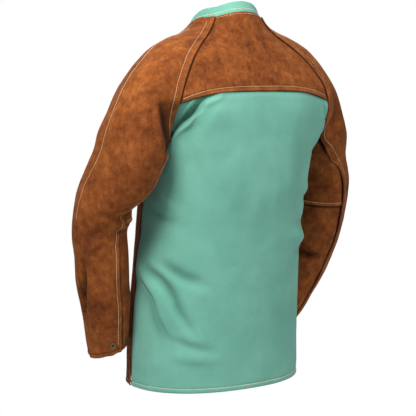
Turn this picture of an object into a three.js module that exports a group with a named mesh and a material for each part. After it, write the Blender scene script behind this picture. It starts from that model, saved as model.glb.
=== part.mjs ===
// A welder's jacket as it hangs on a standing wearer: leather sleeves, shoulders, yoke and fronts,
// a cotton back panel and a cotton stand collar, sewn from separate panels that lap at their seams.
// Millimetres, +Z up. The wearer faces -Y, so +X is the wearer's left and +Y is the back.
// The origin is the middle of the neck, level with the place where the jacket sits on the shoulders.

import * as THREE from "three";

// Sheet thicknesses and the way the panels lap
const LEATHER = 1.6;
const COTTON = 1.0;
const COLLAR_CLOTH = 2.4;
const LAYER_GAP = 0.5;
const SEAM_ALLOWANCE = 10;
const TAPERED_ALLOWANCE = 2;
const LEATHER_TILT = THREE.MathUtils.degToRad(10);
const COTTON_TILT = THREE.MathUtils.degToRad(22);
const UNDER_TILT = THREE.MathUtils.degToRad(26);

// Heights of the jacket
const HEM_Z = -744;
const UNDERARM_Z = -262;
const YOKE_MIDDLE_Z = -147;

// Layers, counted outwards from the inner skin of the garment
const COTTON_LIFT = 0;
const BODY_LIFT = COTTON_LIFT + COTTON + LAYER_GAP;
const SLEEVE_LIFT = BODY_LIFT + LEATHER + LAYER_GAP;
const TOP_LIFT = SLEEVE_LIFT + LEATHER + LAYER_GAP;
const UNDERARM_BULK = 5.2;

// Level sections of the body, from the hem to the neck
const BODY_SECTIONS = [
  { z: -760, xMid: 12, yMid: -32, halfWidth: 187, back: 137, front: 136, corner: 2.2 },
  { z: -600, xMid: 10, yMid: -27, halfWidth: 184, back: 134, front: 134, corner: 2.2 },
  { z: -430, xMid: 6, yMid: -15, halfWidth: 177, back: 133, front: 130, corner: 2.25 },
  { z: -330, xMid: 2, yMid: -4, halfWidth: 177, back: 135, front: 128, corner: 2.4 },
  { z: -250, xMid: 0, yMid: 2, halfWidth: 178, back: 135, front: 124, corner: 2.6 },
  { z: -160, xMid: 0, yMid: 4, halfWidth: 180, back: 134, front: 114, corner: 3 },
  { z: -90, xMid: 0, yMid: 2, halfWidth: 142, back: 110, front: 98, corner: 2.6 },
  { z: -45, xMid: 0, yMid: 0, halfWidth: 86, back: 86, front: 73, corner: 2.2 },
  { z: -5, xMid: 0, yMid: 0, halfWidth: 66, back: 68, front: 62, corner: 2 },
  { z: 50, xMid: 0, yMid: -2, halfWidth: 62, back: 63, front: 60, corner: 2 },
];

// The neckline, at angles from the middle of the back towards the side and the front
const NECKLINE = [
  { angle: 0, z: 11 },
  { angle: 26, z: 8 },
  { angle: 52, z: 0 },
  { angle: 92, z: -8 },
  { angle: 128, z: -32 },
  { angle: 180, z: -80 },
];

// Arm sections from the neck end of the shoulder to the cuff. Out is the radius away from the body,
// fore the radius from front to back. The under panel lies between the back seam and the front seam,
// angles from the outer line round the back.
const LEFT_ARM = [
  { s: 0, x: 46, y: 4, z: -94, out: 56, fore: 56, backSeam: 140, frontSeam: 240 },
  { s: 1, x: 128, y: 14, z: -108, out: 62, fore: 64, backSeam: 140, frontSeam: 240 },
  { s: 2, x: 192, y: 26, z: -163, out: 63, fore: 72, backSeam: 140, frontSeam: 240 },
  { s: 3, x: 231, y: 24, z: -235, out: 60, fore: 75, backSeam: 140, frontSeam: 240 },
  { s: 4, x: 247, y: 10, z: -288, out: 55, fore: 73, backSeam: 132, frontSeam: 240 },
  { s: 5, x: 265, y: -20, z: -352, out: 56, fore: 62, backSeam: 118, frontSeam: 240 },
  { s: 6, x: 272, y: -44, z: -412, out: 51, fore: 48, backSeam: 106, frontSeam: 240 },
  { s: 7, x: 264, y: -53, z: -470, out: 49, fore: 50, backSeam: 98, frontSeam: 240 },
  { s: 8, x: 256, y: -62, z: -530, out: 47, fore: 50, backSeam: 96, frontSeam: 240 },
  { s: 9, x: 245, y: -70, z: -590, out: 42, fore: 46, backSeam: 96, frontSeam: 240 },
  { s: 10, x: 234, y: -86, z: -666, out: 35, fore: 42, backSeam: 96, frontSeam: 240 },
];
const RIGHT_ARM = [
  { s: 0, x: 50, y: 6, z: -86, out: 58, fore: 56, backSeam: 118, frontSeam: 240 },
  { s: 1, x: 124, y: 14, z: -106, out: 62, fore: 64, backSeam: 118, frontSeam: 240 },
  { s: 2, x: 177, y: 26, z: -163, out: 61, fore: 72, backSeam: 118, frontSeam: 240 },
  { s: 3, x: 216, y: 11, z: -235, out: 58, fore: 70, backSeam: 112, frontSeam: 240 },
  { s: 4, x: 241, y: -7, z: -288, out: 52, fore: 65, backSeam: 90, frontSeam: 240 },
  { s: 5, x: 260, y: -20, z: -352, out: 55, fore: 63, backSeam: 79, frontSeam: 240 },
  { s: 6, x: 262, y: -32, z: -425, out: 50, fore: 58, backSeam: 74, frontSeam: 240 },
  { s: 7, x: 256, y: -62, z: -500, out: 50, fore: 57, backSeam: 74, frontSeam: 240 },
  { s: 8, x: 246, y: -89, z: -555, out: 48, fore: 55, backSeam: 74, frontSeam: 240 },
  { s: 9, x: 233, y: -116, z: -610, out: 46, fore: 52, backSeam: 74, frontSeam: 240 },
  { s: 10, x: 211, y: -156, z: -672, out: 38, fore: 46, backSeam: 74, frontSeam: 240 },
];
const UNDERARM_STATION = 3.5;
const ELBOW_STATION = 5.5;
const CUFF_STATION = 10;

// The slant of each cuff's edge, the arm station where it begins, and its lowest side
const CUFF_SLANT = { 1: 0.36, "-1": 0 };
const SLANT_START = 8;
const SLANT_TURN = THREE.MathUtils.degToRad(-35);

// The raglan seams, from the neck (t 0) to the underarm (t 1). The angle turns from the middle of
// the back towards the side of the body.
const RAGLAN_BACK = [
  { t: 0, z: 0, angle: 52 },
  { t: 0.25, z: -58, angle: 58 },
  { t: 0.58, z: -168, angle: 61 },
  { t: 0.8, z: -228, angle: 67 },
  { t: 0.92, z: -255, angle: 78 },
  { t: 1, z: UNDERARM_Z, angle: 97 },
];
const RAGLAN_FRONT = [
  { t: 0, z: -32, angle: 128 },
  { t: 0.25, z: -76, angle: 126 },
  { t: 0.58, z: -168, angle: 121 },
  { t: 0.8, z: -228, angle: 111 },
  { t: 0.92, z: -255, angle: 104 },
  { t: 1, z: UNDERARM_Z, angle: 97 },
];
const SIDE_SEAM_ANGLE = 97;
const RAGLAN_STEPS = 12;
const YOKE_STEPS = 7;
const UNDER_STEPS = 10;
const SEAM_SETTLE = 1.6;

// Numbers of facets
const BACK_COLUMNS = 22;
const BODY_ROWS = 16;
const FRONT_COLUMNS = 8;
const SLEEVE_BACK_COLUMNS = 8;
const SLEEVE_FRONT_COLUMNS = 6;
const UNDER_COLUMNS = 6;
const UPPER_ARM_ROWS = 6;
const FOREARM_ROWS = 10;
const COLLAR_COLUMNS = 28;
const SNAP_SIDES = 10;

// How widely the shoulder flows into the body, and how tightly the underarm folds
const SHOULDER_BLEND = 55;
const UNDERARM_BLEND = 22;
const BLEND_TOP_Z = -140;
const ARMHOLE_BULGE = 60;
const BULGE_START = 0.3;
const SHEAR_START = 0.5;

const SHOULDER_LINE_ANGLE = 92;
const COLLAR_HEIGHT = 21;
const COLLAR_FOOT = 8;
const COLLAR_LEAN = 0.34;
const COLLAR_END_ANGLE = 177;
const PLACKET_ANGLE = 9;
const PLACKET_COLUMNS = 2;

// Soft folds, each along a line on the body or on an arm: a ridge where the height is above 0 and a
// crease where it is below. Angles turn from the middle of the back, or from an arm's outer line.
const FOLDS = [
  { on: "body", angle: 50, z: -160, toAngle: 62, toZ: -236, width: 16, height: -4 },
  { on: "body", angle: 40, z: -170, toAngle: 56, toZ: -256, width: 22, height: 4 },
  { on: "body", angle: -54, z: -190, toAngle: -58, toZ: -236, width: 18, height: 4 },
  { on: "body", angle: 94, z: -486, toAngle: 66, toZ: -590, width: 22, height: 6 },
  { on: "body", angle: 88, z: -536, toAngle: 60, toZ: -640, width: 20, height: -6 },
  { on: "body", angle: 70, z: -500, toAngle: 46, toZ: -650, width: 22, height: 6 },
  { on: "body", angle: 56, z: -520, toAngle: 40, toZ: -606, width: 20, height: -4 },
  { on: "body", angle: -46, z: -440, toAngle: -72, toZ: -448, width: 22, height: 4 },
  { on: "left", angle: 66, z: -170, toAngle: 98, toZ: -236, width: 16, height: -8 },
  { on: "left", angle: 128, z: -312, toAngle: 96, toZ: -334, width: 22, height: 4 },
  { on: "left", angle: 172, z: -366, toAngle: 92, toZ: -382, width: 16, height: -13 },
  { on: "left", angle: 24, z: -490, toAngle: 4, toZ: -596, width: 15, height: -4 },
  { on: "right", angle: 165, z: -330, toAngle: 122, toZ: -332, width: 16, height: -5 },
  { on: "right", angle: 140, z: -494, toAngle: 98, toZ: -508, width: 18, height: -6 },
];
const BODY_MM_PER_DEGREE = 2.7;
const ARM_MM_PER_DEGREE = 1.05;

// Snap caps: half profiles from the middle of the foot to the middle of the top
const SNAP_PROFILE = [
  { radius: 0, height: 0 },
  { radius: 6.2, height: 0 },
  { radius: 6.5, height: 1 },
  { radius: 5, height: 1.9 },
  { radius: 3.4, height: 1.2 },
  { radius: 0, height: 1.2 },
];
const SNAP_SEAT = 0.4;
const CUFF_SNAPS = [
  { side: 1, name: "cuff_snap_left", station: 9.68, angle: 73, lift: TOP_LIFT },
  { side: 1, name: "cuff_stud_left", station: 9.7, angle: 116, lift: SLEEVE_LIFT },
  { side: -1, name: "cuff_snap_right", station: 9.68, angle: 52, lift: TOP_LIFT },
  { side: -1, name: "cuff_stud_right", station: 9.7, angle: 100, lift: SLEEVE_LIFT },
];
const FRONT_SNAP_HEIGHTS = [-118, -256, -394, -532, -670];

const LEATHER_COLOUR = 0x8a5230;
const COTTON_COLOUR = 0x74b79f;
const SNAP_COLOUR = 0x8c7a58;

const radians = THREE.MathUtils.degToRad;
const clamp = THREE.MathUtils.clamp;
const mix = THREE.MathUtils.lerp;
const smoothstep = THREE.MathUtils.smoothstep;

// One row of a table, worked out between its rows by a smooth curve through every column.
function between(table, key, value) {
  const last = table.length - 1;
  const rising = table[last][key] > table[0][key];
  let i = 0;
  while (i < last - 1 && (rising ? value > table[i + 1][key] : value < table[i + 1][key])) i += 1;
  const width = table[i + 1][key] - table[i][key];
  const f = clamp((value - table[i][key]) / width, 0, 1);
  const row = {};
  for (const column of Object.keys(table[0])) {
    const slopeAt = (k) => {
      const low = table[Math.max(k - 1, 0)];
      const high = table[Math.min(k + 1, last)];
      return (width * (high[column] - low[column])) / (high[key] - low[key]);
    };
    const [a, b] = [table[i][column], table[i + 1][column]];
    const [ma, mb] = [slopeAt(i), slopeAt(i + 1)];
    const f2 = f * f;
    const f3 = f2 * f;
    row[column] = (2 * f3 - 3 * f2 + 1) * a + (f3 - 2 * f2 + f) * ma
      + (3 * f2 - 2 * f3) * b + (f3 - f2) * mb;
  }
  row[key] = value;
  return row;
}

// How far the folds of one part of the garment push its skin outwards at a place.
function foldHeight(on, angle, z, mmPerDegree) {
  let sum = 0;
  for (const fold of FOLDS) {
    if (fold.on !== on) continue;
    const alongX = (fold.toAngle - fold.angle) * mmPerDegree;
    const alongZ = fold.toZ - fold.z;
    const x = (angle - fold.angle) * mmPerDegree;
    const share = clamp((x * alongX + (z - fold.z) * alongZ) / (alongX ** 2 + alongZ ** 2), 0, 1);
    const away = Math.hypot(x - share * alongX, z - fold.z - share * alongZ);
    sum += fold.height * Math.exp(-((away / fold.width) ** 2));
  }
  return sum;
}

// Distance outside the body's tube, negative inside it.
function bodyField(p) {
  const section = between(BODY_SECTIONS, "z", clamp(p.z, -760, 50));
  const x = p.x - section.xMid;
  const y = p.y - section.yMid;
  const depth = y > 0 ? section.back : section.front;
  const reach = Math.hypot(x, y);
  const share = ((Math.abs(x) / section.halfWidth) ** section.corner
    + (Math.abs(y) / depth) ** section.corner) ** (1 / section.corner);
  const folds = foldHeight("body", THREE.MathUtils.radToDeg(Math.atan2(x, y)), p.z, BODY_MM_PER_DEGREE);
  return (share > 1e-6 ? reach - reach / share : -depth) - folds;
}

// An arm: its axis as short straight steps, each with its frame and radii. It is worked out for the
// left side, and the right one is its mirror image.
function makeArm(table, word) {
  const steps = 120;
  const stations = [];
  for (let i = 0; i <= steps; i += 1) {
    const row = between(table, "s", (i / steps) * CUFF_STATION);
    stations.push({ ...row, centre: new THREE.Vector3(row.x, row.y, row.z) });
  }
  stations.forEach((station, i) => {
    const before = stations[Math.max(i - 1, 0)].centre;
    const after = stations[Math.min(i + 1, steps)].centre;
    station.along = after.clone().sub(before).normalize();
    station.back = new THREE.Vector3(0, 1, 0).addScaledVector(station.along, -station.along.y).normalize();
    station.outward = new THREE.Vector3().crossVectors(station.along, station.back);
  });
  const at = (s) => stations[Math.round((clamp(s, 0, CUFF_STATION) / CUFF_STATION) * steps)];
  const field = (p) => {
    let nearest = stations[0];
    let best = Infinity;
    for (const station of stations) {
      const d = station.centre.distanceToSquared(p);
      if (d < best) {
        best = d;
        nearest = station;
      }
    }
    const d = p.clone().sub(nearest.centre);
    const o = d.dot(nearest.outward);
    const b = d.dot(nearest.back);
    const l = d.dot(nearest.along);
    const reach = Math.hypot(o, b, l);
    const share = Math.hypot(o / nearest.out, b / nearest.fore, l / nearest.out);
    const folds = foldHeight(word, THREE.MathUtils.radToDeg(Math.atan2(b, o)), p.z, ARM_MM_PER_DEGREE);
    return (share > 1e-6 ? reach - reach / share : -nearest.out) - folds;
  };
  return { at, field };
}

const ARMS = { 1: makeArm(LEFT_ARM, "left"), "-1": makeArm(RIGHT_ARM, "right") };
const mirrored = (p, side) => new THREE.Vector3(p.x * side, p.y, p.z);

// Joins two fields with a fillet of about the given width.
function softUnion(a, b, width) {
  const h = Math.max(width - Math.abs(a - b), 0) / width;
  return Math.min(a, b) - (h * h * width) / 4;
}

// The whole garment's skin: the body with both arms flowing out of it at the shoulders.
function garmentField(p) {
  const blend = mix(UNDERARM_BLEND, SHOULDER_BLEND, smoothstep(p.z, UNDERARM_Z, BLEND_TOP_Z));
  const side = p.x < 0 ? -1 : 1;
  return softUnion(bodyField(p), ARMS[side].field(mirrored(p, side)), blend);
}

// The point where a ray from inside leaves a field, with the field's outward normal there.
function skin(origin, direction, field) {
  const unit = direction.clone().normalize();
  const at = (r) => origin.clone().addScaledVector(unit, r);
  const stride = 6;
  let high = stride;
  while (field(at(high)) < 0 && high < 500) high += stride;
  let low = high - stride;
  for (let i = 0; i < 14; i += 1) {
    const middle = (low + high) / 2;
    if (field(at(middle)) < 0) low = middle;
    else high = middle;
  }
  const p = at((low + high) / 2);
  const nudge = 1.5;
  const slope = (x, y, z) => {
    const nudged = (sign) => field(p.clone().add(new THREE.Vector3(x, y, z).multiplyScalar(sign * nudge)));
    return nudged(1) - nudged(-1);
  };
  const n = new THREE.Vector3(slope(1, 0, 0), slope(0, 1, 0), slope(0, 0, 1)).normalize();
  return { p, n };
}

// A point of the body's skin at a height, at an angle from the middle of the back towards the left.
function bodyPoint(angle, z, field) {
  const section = between(BODY_SECTIONS, "z", z);
  const origin = new THREE.Vector3(section.xMid, section.yMid, z);
  const direction = new THREE.Vector3(Math.sin(radians(angle)), Math.cos(radians(angle)), 0);
  return skin(origin, direction, field);
}

const raglanBack = (t) => between(RAGLAN_BACK, "t", t);
const raglanFront = (t) => between(RAGLAN_FRONT, "t", t);
const neckZ = (angle) => between(NECKLINE, "angle", Math.abs(angle)).z;

// Towards the underarm the body's panels keep to the body and the sleeve's panels to the arm, so
// that each field stops at the fold between them.
const bulge = (t) => ARMHOLE_BULGE * (1 - Math.max(t - BULGE_START, 0) / (1 - BULGE_START)) ** 1.5;
const bodySide = (t) => (p) => Math.max(garmentField(p), bodyField(p) - bulge(t));
const armSide = (side) => (p) => ARMS[side].field(mirrored(p, side));
const sleeveSide = (t, side) => (p) => Math.max(garmentField(p), armSide(side)(p) - bulge(t));

// Columns spread evenly across the body, and bend towards the raglan seam only near their end.
function spread(u, end, t) {
  const even = mix(end, SIDE_SEAM_ANGLE, smoothstep(t, SHEAR_START, 1));
  return even * u + (end - even) * u ** 5;
}

// Grids of skin points, a row for each level of the panel
function backRows() {
  const rows = [];
  const yokeEnd = raglanBack(YOKE_STEPS / RAGLAN_STEPS).z;
  for (let i = 0; i <= RAGLAN_STEPS + BODY_ROWS; i += 1) {
    const t = Math.min(i / RAGLAN_STEPS, 1);
    const end = raglanBack(t);
    const yokeShare = Math.min(i / YOKE_STEPS, 1);
    const chestShare = clamp((i - YOKE_STEPS) / (RAGLAN_STEPS - YOKE_STEPS), 0, 1);
    const drop = Math.max(i - RAGLAN_STEPS, 0) / BODY_ROWS;
    const row = [];
    for (let j = 0; j <= BACK_COLUMNS; j += 1) {
      const u = (2 * j) / BACK_COLUMNS - 1;
      const angle = spread(u, end.angle, t);
      const yokeZ = mix(YOKE_MIDDLE_Z, yokeEnd, u ** 4);
      const evenZ = (top, edge) => (
        yokeShare < 1 ? mix(top, edge, yokeShare) : mix(edge, UNDERARM_Z, chestShare)
      );
      const stray = end.z - evenZ(neckZ(end.angle), yokeEnd);
      const z = mix(evenZ(neckZ(angle), yokeZ) + stray * u ** 4, HEM_Z, drop);
      row.push(bodyPoint(angle, z, i < RAGLAN_STEPS ? bodySide(t) : bodyField));
    }
    rows.push(row);
  }
  return rows;
}

function frontRows(side) {
  const rows = [];
  const bodyColumns = FRONT_COLUMNS - PLACKET_COLUMNS;
  for (let i = 0; i <= RAGLAN_STEPS + BODY_ROWS; i += 1) {
    const t = Math.min(i / RAGLAN_STEPS, 1);
    const bodyZ = mix(UNDERARM_Z, HEM_Z, (i - RAGLAN_STEPS) / BODY_ROWS);
    const end = t < 1 ? raglanFront(t) : { angle: SIDE_SEAM_ANGLE, z: bodyZ };
    const row = [];
    for (let j = 0; j <= FRONT_COLUMNS; j += 1) {
      const u = Math.min(j / bodyColumns, 1);
      const past = Math.max(j - bodyColumns, 0);
      const angle = mix(end.angle, 180 - PLACKET_ANGLE, u) + past * PLACKET_ANGLE;
      const middleZ = mix(neckZ(180), UNDERARM_Z, t);
      const neckEdge = mix(end.z, middleZ, u);
      row.push(bodyPoint(side * angle, t < 1 ? neckEdge : bodyZ, t < 1 ? bodySide(t) : bodyField));
    }
    rows.push(row);
  }
  return rows;
}

// The stations of a sleeve's rows: down the raglan seam, the upper arm and the forearm
const SLEEVE_STATIONS = [];
for (let i = 0; i <= RAGLAN_STEPS; i += 1) SLEEVE_STATIONS.push((UNDERARM_STATION * i) / RAGLAN_STEPS);
for (let i = 1; i <= UPPER_ARM_ROWS; i += 1) {
  SLEEVE_STATIONS.push(mix(UNDERARM_STATION, ELBOW_STATION, i / UPPER_ARM_ROWS));
}
for (let i = 1; i <= FOREARM_ROWS; i += 1) {
  SLEEVE_STATIONS.push(mix(ELBOW_STATION, CUFF_STATION, i / FOREARM_ROWS));
}
const ELBOW_ROW = RAGLAN_STEPS + UPPER_ARM_ROWS;
const steps = (count) => [...Array(count + 1).keys()].map((j) => j / count);

// One sleeve: an outer back and an outer front that meet on the shoulder line, and an under panel
// that starts at the bottom of the armhole and is pieced at the elbow.
function sleeveGrids(side) {
  const arm = ARMS[side];
  const seamPoint = (seam, t) => bodyPoint(side * seam(t).angle, seam(t).z, bodySide(t));
  const around = (station, p) => {
    const d = mirrored(p, side).sub(station.centre);
    const o = d.dot(station.outward);
    const b = d.dot(station.back);
    const turn = Math.atan2(b, o);
    return { turn: turn < 0 ? turn + 2 * Math.PI : turn, lean: d.dot(station.along) / Math.hypot(o, b) };
  };
  const cast = (station, turn, lean, field) => {
    const direction = station.outward.clone().multiplyScalar(Math.cos(turn))
      .addScaledVector(station.back, Math.sin(turn))
      .addScaledVector(station.along, lean);
    return skin(mirrored(station.centre, side), mirrored(direction, side), field);
  };
  const slant = (s, turn) => (
    CUFF_SLANT[side] * Math.cos(turn - SLANT_TURN) * smoothstep(s, SLANT_START, CUFF_STATION)
  );
  const underT = UNDER_STEPS / RAGLAN_STEPS;
  const underS = SLEEVE_STATIONS[UNDER_STEPS];
  const backTop = around(arm.at(underS), seamPoint(raglanBack, underT).p).turn;
  const frontTop = around(arm.at(underS), seamPoint(raglanFront, underT).p).turn;
  const settle = (s) => 1 - (1 - clamp((s - underS) / SEAM_SETTLE, 0, 1)) ** 2;
  const backSeam = (s) => mix(backTop, radians(arm.at(s).backSeam), settle(s));
  const frontSeam = (s) => mix(frontTop, radians(arm.at(s).frontSeam), settle(s));

  const neckRow = (from, to, columns) => steps(columns).map((u) => (
    bodyPoint(side * mix(from, to, u), neckZ(mix(from, to, u)), bodySide(0))
  ));
  const back = [neckRow(raglanBack(0).angle, SHOULDER_LINE_ANGLE, SLEEVE_BACK_COLUMNS)];
  const front = [neckRow(SHOULDER_LINE_ANGLE, raglanFront(0).angle, SLEEVE_FRONT_COLUMNS)];
  for (let i = 1; i < SLEEVE_STATIONS.length; i += 1) {
    const s = SLEEVE_STATIONS[i];
    const t = i / RAGLAN_STEPS;
    const station = arm.at(s);
    const field = i < RAGLAN_STEPS ? sleeveSide(t, side) : armSide(side);
    let start = { turn: backSeam(s), lean: 0 };
    let end = { turn: frontSeam(s), lean: 0 };
    const onRaglan = i <= UNDER_STEPS;
    const [backEdge, frontEdge] = onRaglan ? [seamPoint(raglanBack, t), seamPoint(raglanFront, t)] : [];
    if (onRaglan) {
      start = around(station, backEdge.p);
      end = around(station, frontEdge.p);
    }
    back.push(steps(SLEEVE_BACK_COLUMNS).map((u) => {
      const turn = start.turn * (1 - u);
      return cast(station, turn, start.lean * (1 - u) ** 2 + slant(s, turn), field);
    }));
    front.push(steps(SLEEVE_FRONT_COLUMNS).map((u) => {
      const turn = (end.turn - 2 * Math.PI) * u;
      return cast(station, turn, end.lean * u ** 2 + slant(s, turn), field);
    }));
    if (onRaglan) {
      back[i][0].seam = backEdge;
      front[i][SLEEVE_FRONT_COLUMNS].seam = frontEdge;
    }
  }

  // The bottom of the armhole, as points with their place on the arm
  const armhole = [];
  const note = (seam, t) => {
    const edge = seamPoint(seam, t);
    const s = mix(underS, UNDERARM_STATION, (t - underT) / (1 - underT));
    armhole.push({ edge, s, turn: around(arm.at(s), edge.p).turn });
  };
  steps(12).forEach((u) => note(raglanBack, mix(underT, 1, u)));
  steps(12).slice(1).forEach((u) => note(raglanFront, mix(1, underT, u)));
  const upper = [];
  for (let i = UNDER_STEPS; i <= ELBOW_ROW; i += 1) {
    const share = (SLEEVE_STATIONS[i] - underS) / (ELBOW_STATION - underS);
    upper.push(steps(UNDER_COLUMNS).map((u) => {
      const place = armhole[Math.round(u * (armhole.length - 1))];
      const s = mix(place.s, ELBOW_STATION, share);
      const stray = place.turn - mix(backTop, frontTop, u);
      const turn = mix(backSeam(s), frontSeam(s), u) + stray * (1 - smoothstep(share, 0, 0.5));
      const point = cast(arm.at(s), turn, 0, armSide(side));
      if (i === UNDER_STEPS) point.seam = place.edge;
      return point;
    }));
  }
  const lower = SLEEVE_STATIONS.slice(ELBOW_ROW).map((s) => steps(UNDER_COLUMNS).map((u) => {
    const turn = mix(backSeam(s), frontSeam(s), u);
    return cast(arm.at(s), turn, slant(s, turn), armSide(side));
  }));
  return { back, front, upper, lower };
}

// Adds a strip beyond an edge that dips under the neighbouring panel, as a seam allowance does.
function allowance(edge, inside, tilt, reach = SEAM_ALLOWANCE) {
  const along = edge.p.clone().sub(inside.p);
  along.addScaledVector(edge.n, -along.dot(edge.n)).normalize();
  const p = edge.p.clone()
    .addScaledVector(along, reach * Math.cos(tilt))
    .addScaledVector(edge.n, -reach * Math.sin(tilt));
  return { p, n: edge.n, lift: edge.lift };
}

// Gives each point its layer. A point on a shared seam sits over the neighbour's edge there.
const lifted = (rows, lift) => rows.map((row, i) => row.map(({ p, n, seam }, j) => {
  const layer = typeof lift === "function" ? lift(i, j) : lift;
  if (!seam) return { p, n, lift: layer };
  const away = seam.n.clone().sub(n).multiplyScalar(layer + LEATHER / 2);
  return { p: seam.p.clone().add(away), n, lift: layer };
}));
const allowStart = (rows, tilt) => rows.map((row) => [allowance(row[0], row[1], tilt), ...row]);
const allowEnd = (rows, tilt) => rows.map((row) => [...row, allowance(row.at(-1), row.at(-2), tilt)]);
const allowTop = (rows, tilt) => [rows[0].map((point, j) => allowance(point, rows[1][j], tilt)), ...rows];
const allowSides = (rows, tilt) => allowEnd(allowStart(rows, tilt), tilt);

// The allowances of the under sleeve run out to almost nothing where they reach the armhole.
const allowTapered = (rows) => rows.map((row, i) => {
  const reach = i === 0 ? TAPERED_ALLOWANCE : SEAM_ALLOWANCE;
  const start = allowance(row[0], row[1], UNDER_TILT, reach);
  return [start, ...row, allowance(row.at(-1), row.at(-2), UNDER_TILT, reach)];
});

// A panel as one closed sheet: its grid offset outwards to an inner and an outer face, with a rim.
function panel(name, rows, thickness, colour, flipped) {
  const height = rows.length;
  const width = rows[0].length;
  const positions = [];
  const faces = [];
  for (const extra of [thickness, 0]) {
    for (const row of rows) {
      for (const { p, n, lift } of row) {
        positions.push(...p.clone().addScaledVector(n, lift + extra).toArray());
      }
    }
  }
  const outer = (i, j) => i * width + j;
  const inner = (i, j) => height * width + i * width + j;
  const quad = (a, b, c, d) => faces.push(a, b, c, a, c, d);
  for (let i = 0; i + 1 < height; i += 1) {
    for (let j = 0; j + 1 < width; j += 1) {
      const ring = [[i, j], [i + 1, j], [i + 1, j + 1], [i, j + 1]];
      const [a, b, c, d] = flipped ? [...ring.slice(1), ring[0]] : ring;
      quad(outer(...a), outer(...b), outer(...c), outer(...d));
      quad(inner(...a), inner(...d), inner(...c), inner(...b));
    }
  }
  const rim = (a, b) => quad(outer(...a), outer(...b), inner(...b), inner(...a));
  for (let j = 0; j + 1 < width; j += 1) {
    rim([0, j], [0, j + 1]);
    rim([height - 1, j + 1], [height - 1, j]);
  }
  for (let i = 0; i + 1 < height; i += 1) {
    rim([i + 1, 0], [i, 0]);
    rim([i, width - 1], [i + 1, width - 1]);
  }
  const geometry = new THREE.BufferGeometry();
  geometry.setAttribute("position", new THREE.Float32BufferAttribute(positions, 3));
  geometry.setIndex(faces);
  if (signedVolume(geometry) < 0) faces.reverse();
  geometry.setIndex(faces);
  geometry.computeVertexNormals();
  const material = new THREE.MeshStandardMaterial({ color: colour, roughness: 0.95, metalness: 0 });
  const mesh = new THREE.Mesh(geometry, material);
  mesh.name = name;
  return mesh;
}

function signedVolume(geometry) {
  const position = geometry.getAttribute("position");
  const corners = [0, 1, 2].map(() => new THREE.Vector3());
  let volume = 0;
  for (let k = 0; k < geometry.index.count; k += 3) {
    corners.forEach((corner, c) => corner.fromBufferAttribute(position, geometry.index.array[k + c]));
    volume += corners[0].dot(corners[1].clone().cross(corners[2])) / 6;
  }
  return volume;
}

const leather = (name, rows) => panel(name, rows, LEATHER, LEATHER_COLOUR, false);
const cotton = (name, rows, thickness, flipped) => panel(name, rows, thickness, COTTON_COLOUR, flipped);

function backPanels() {
  const rows = backRows();
  const yoke = allowSides(lifted(rows.slice(0, YOKE_STEPS + 1), BODY_LIFT), LEATHER_TILT);
  const lower = allowSides(lifted(rows.slice(YOKE_STEPS), COTTON_LIFT), COTTON_TILT);
  return [leather("back_yoke", yoke), cotton("back_panel", allowTop(lower, COTTON_TILT), COTTON, true)];
}

function frontPanels() {
  const placketColumn = FRONT_COLUMNS - PLACKET_COLUMNS;
  const overlapLift = (i, j) => (
    BODY_LIFT + (LEATHER + LAYER_GAP) * smoothstep(j, placketColumn - 3, placketColumn)
  );
  return [
    leather("front_left", lifted(frontRows(1), overlapLift)),
    leather("front_right", lifted(frontRows(-1), BODY_LIFT)),
  ];
}

function collar() {
  const rows = [-COLLAR_FOOT, COLLAR_HEIGHT / 2, COLLAR_HEIGHT].map((height) => {
    const row = [];
    for (let j = 0; j <= COLLAR_COLUMNS; j += 1) {
      const angle = mix(-COLLAR_END_ANGLE, COLLAR_END_ANGLE, j / COLLAR_COLUMNS);
      const { p } = bodyPoint(angle, neckZ(angle), bodySide(0));
      const n = new THREE.Vector3(p.x, p.y, 0).normalize();
      p.addScaledVector(n, -COLLAR_LEAN * height);
      p.z += height;
      row.push({ p, n, lift: -COLLAR_CLOTH });
    }
    return row;
  });
  return cotton("collar", rows, COLLAR_CLOTH, false);
}

function sleevePanels(side, word) {
  const { back, front, upper, lower } = sleeveGrids(side);
  const belowRaglan = (i) => smoothstep(i, UNDER_STEPS - 2, UNDER_STEPS);
  const bulk = (i, share) => UNDERARM_BULK * share * Math.max(1 - Math.abs(i - UNDER_STEPS - 0.5) / 2.5, 0);
  const backLift = (i, j) => {
    const u = j / SLEEVE_BACK_COLUMNS;
    return mix(SLEEVE_LIFT, TOP_LIFT, Math.max(u, belowRaglan(i))) + bulk(i, 1 - u);
  };
  const frontLift = (i, j) => {
    const u = j / SLEEVE_FRONT_COLUMNS;
    return mix(SLEEVE_LIFT, TOP_LIFT, belowRaglan(i) * u) + bulk(i, u);
  };
  const upperLift = (i) => SLEEVE_LIFT + (i === 0 ? LAYER_GAP : 0);
  const lowerLift = (i) => mix(BODY_LIFT, SLEEVE_LIFT, smoothstep(i, 0, 3));
  const underUpper = allowTapered(lifted(upper, upperLift));
  const underLower = allowSides(lifted(lower, lowerLift), UNDER_TILT);
  return [
    leather(`sleeve_back_${word}`, lifted(back, backLift)),
    leather(`sleeve_front_${word}`, allowStart(lifted(front, frontLift), LEATHER_TILT)),
    leather(`sleeve_under_upper_${word}`, underUpper),
    leather(`sleeve_under_lower_${word}`, allowTop(underLower, LEATHER_TILT)),
  ];
}

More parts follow.
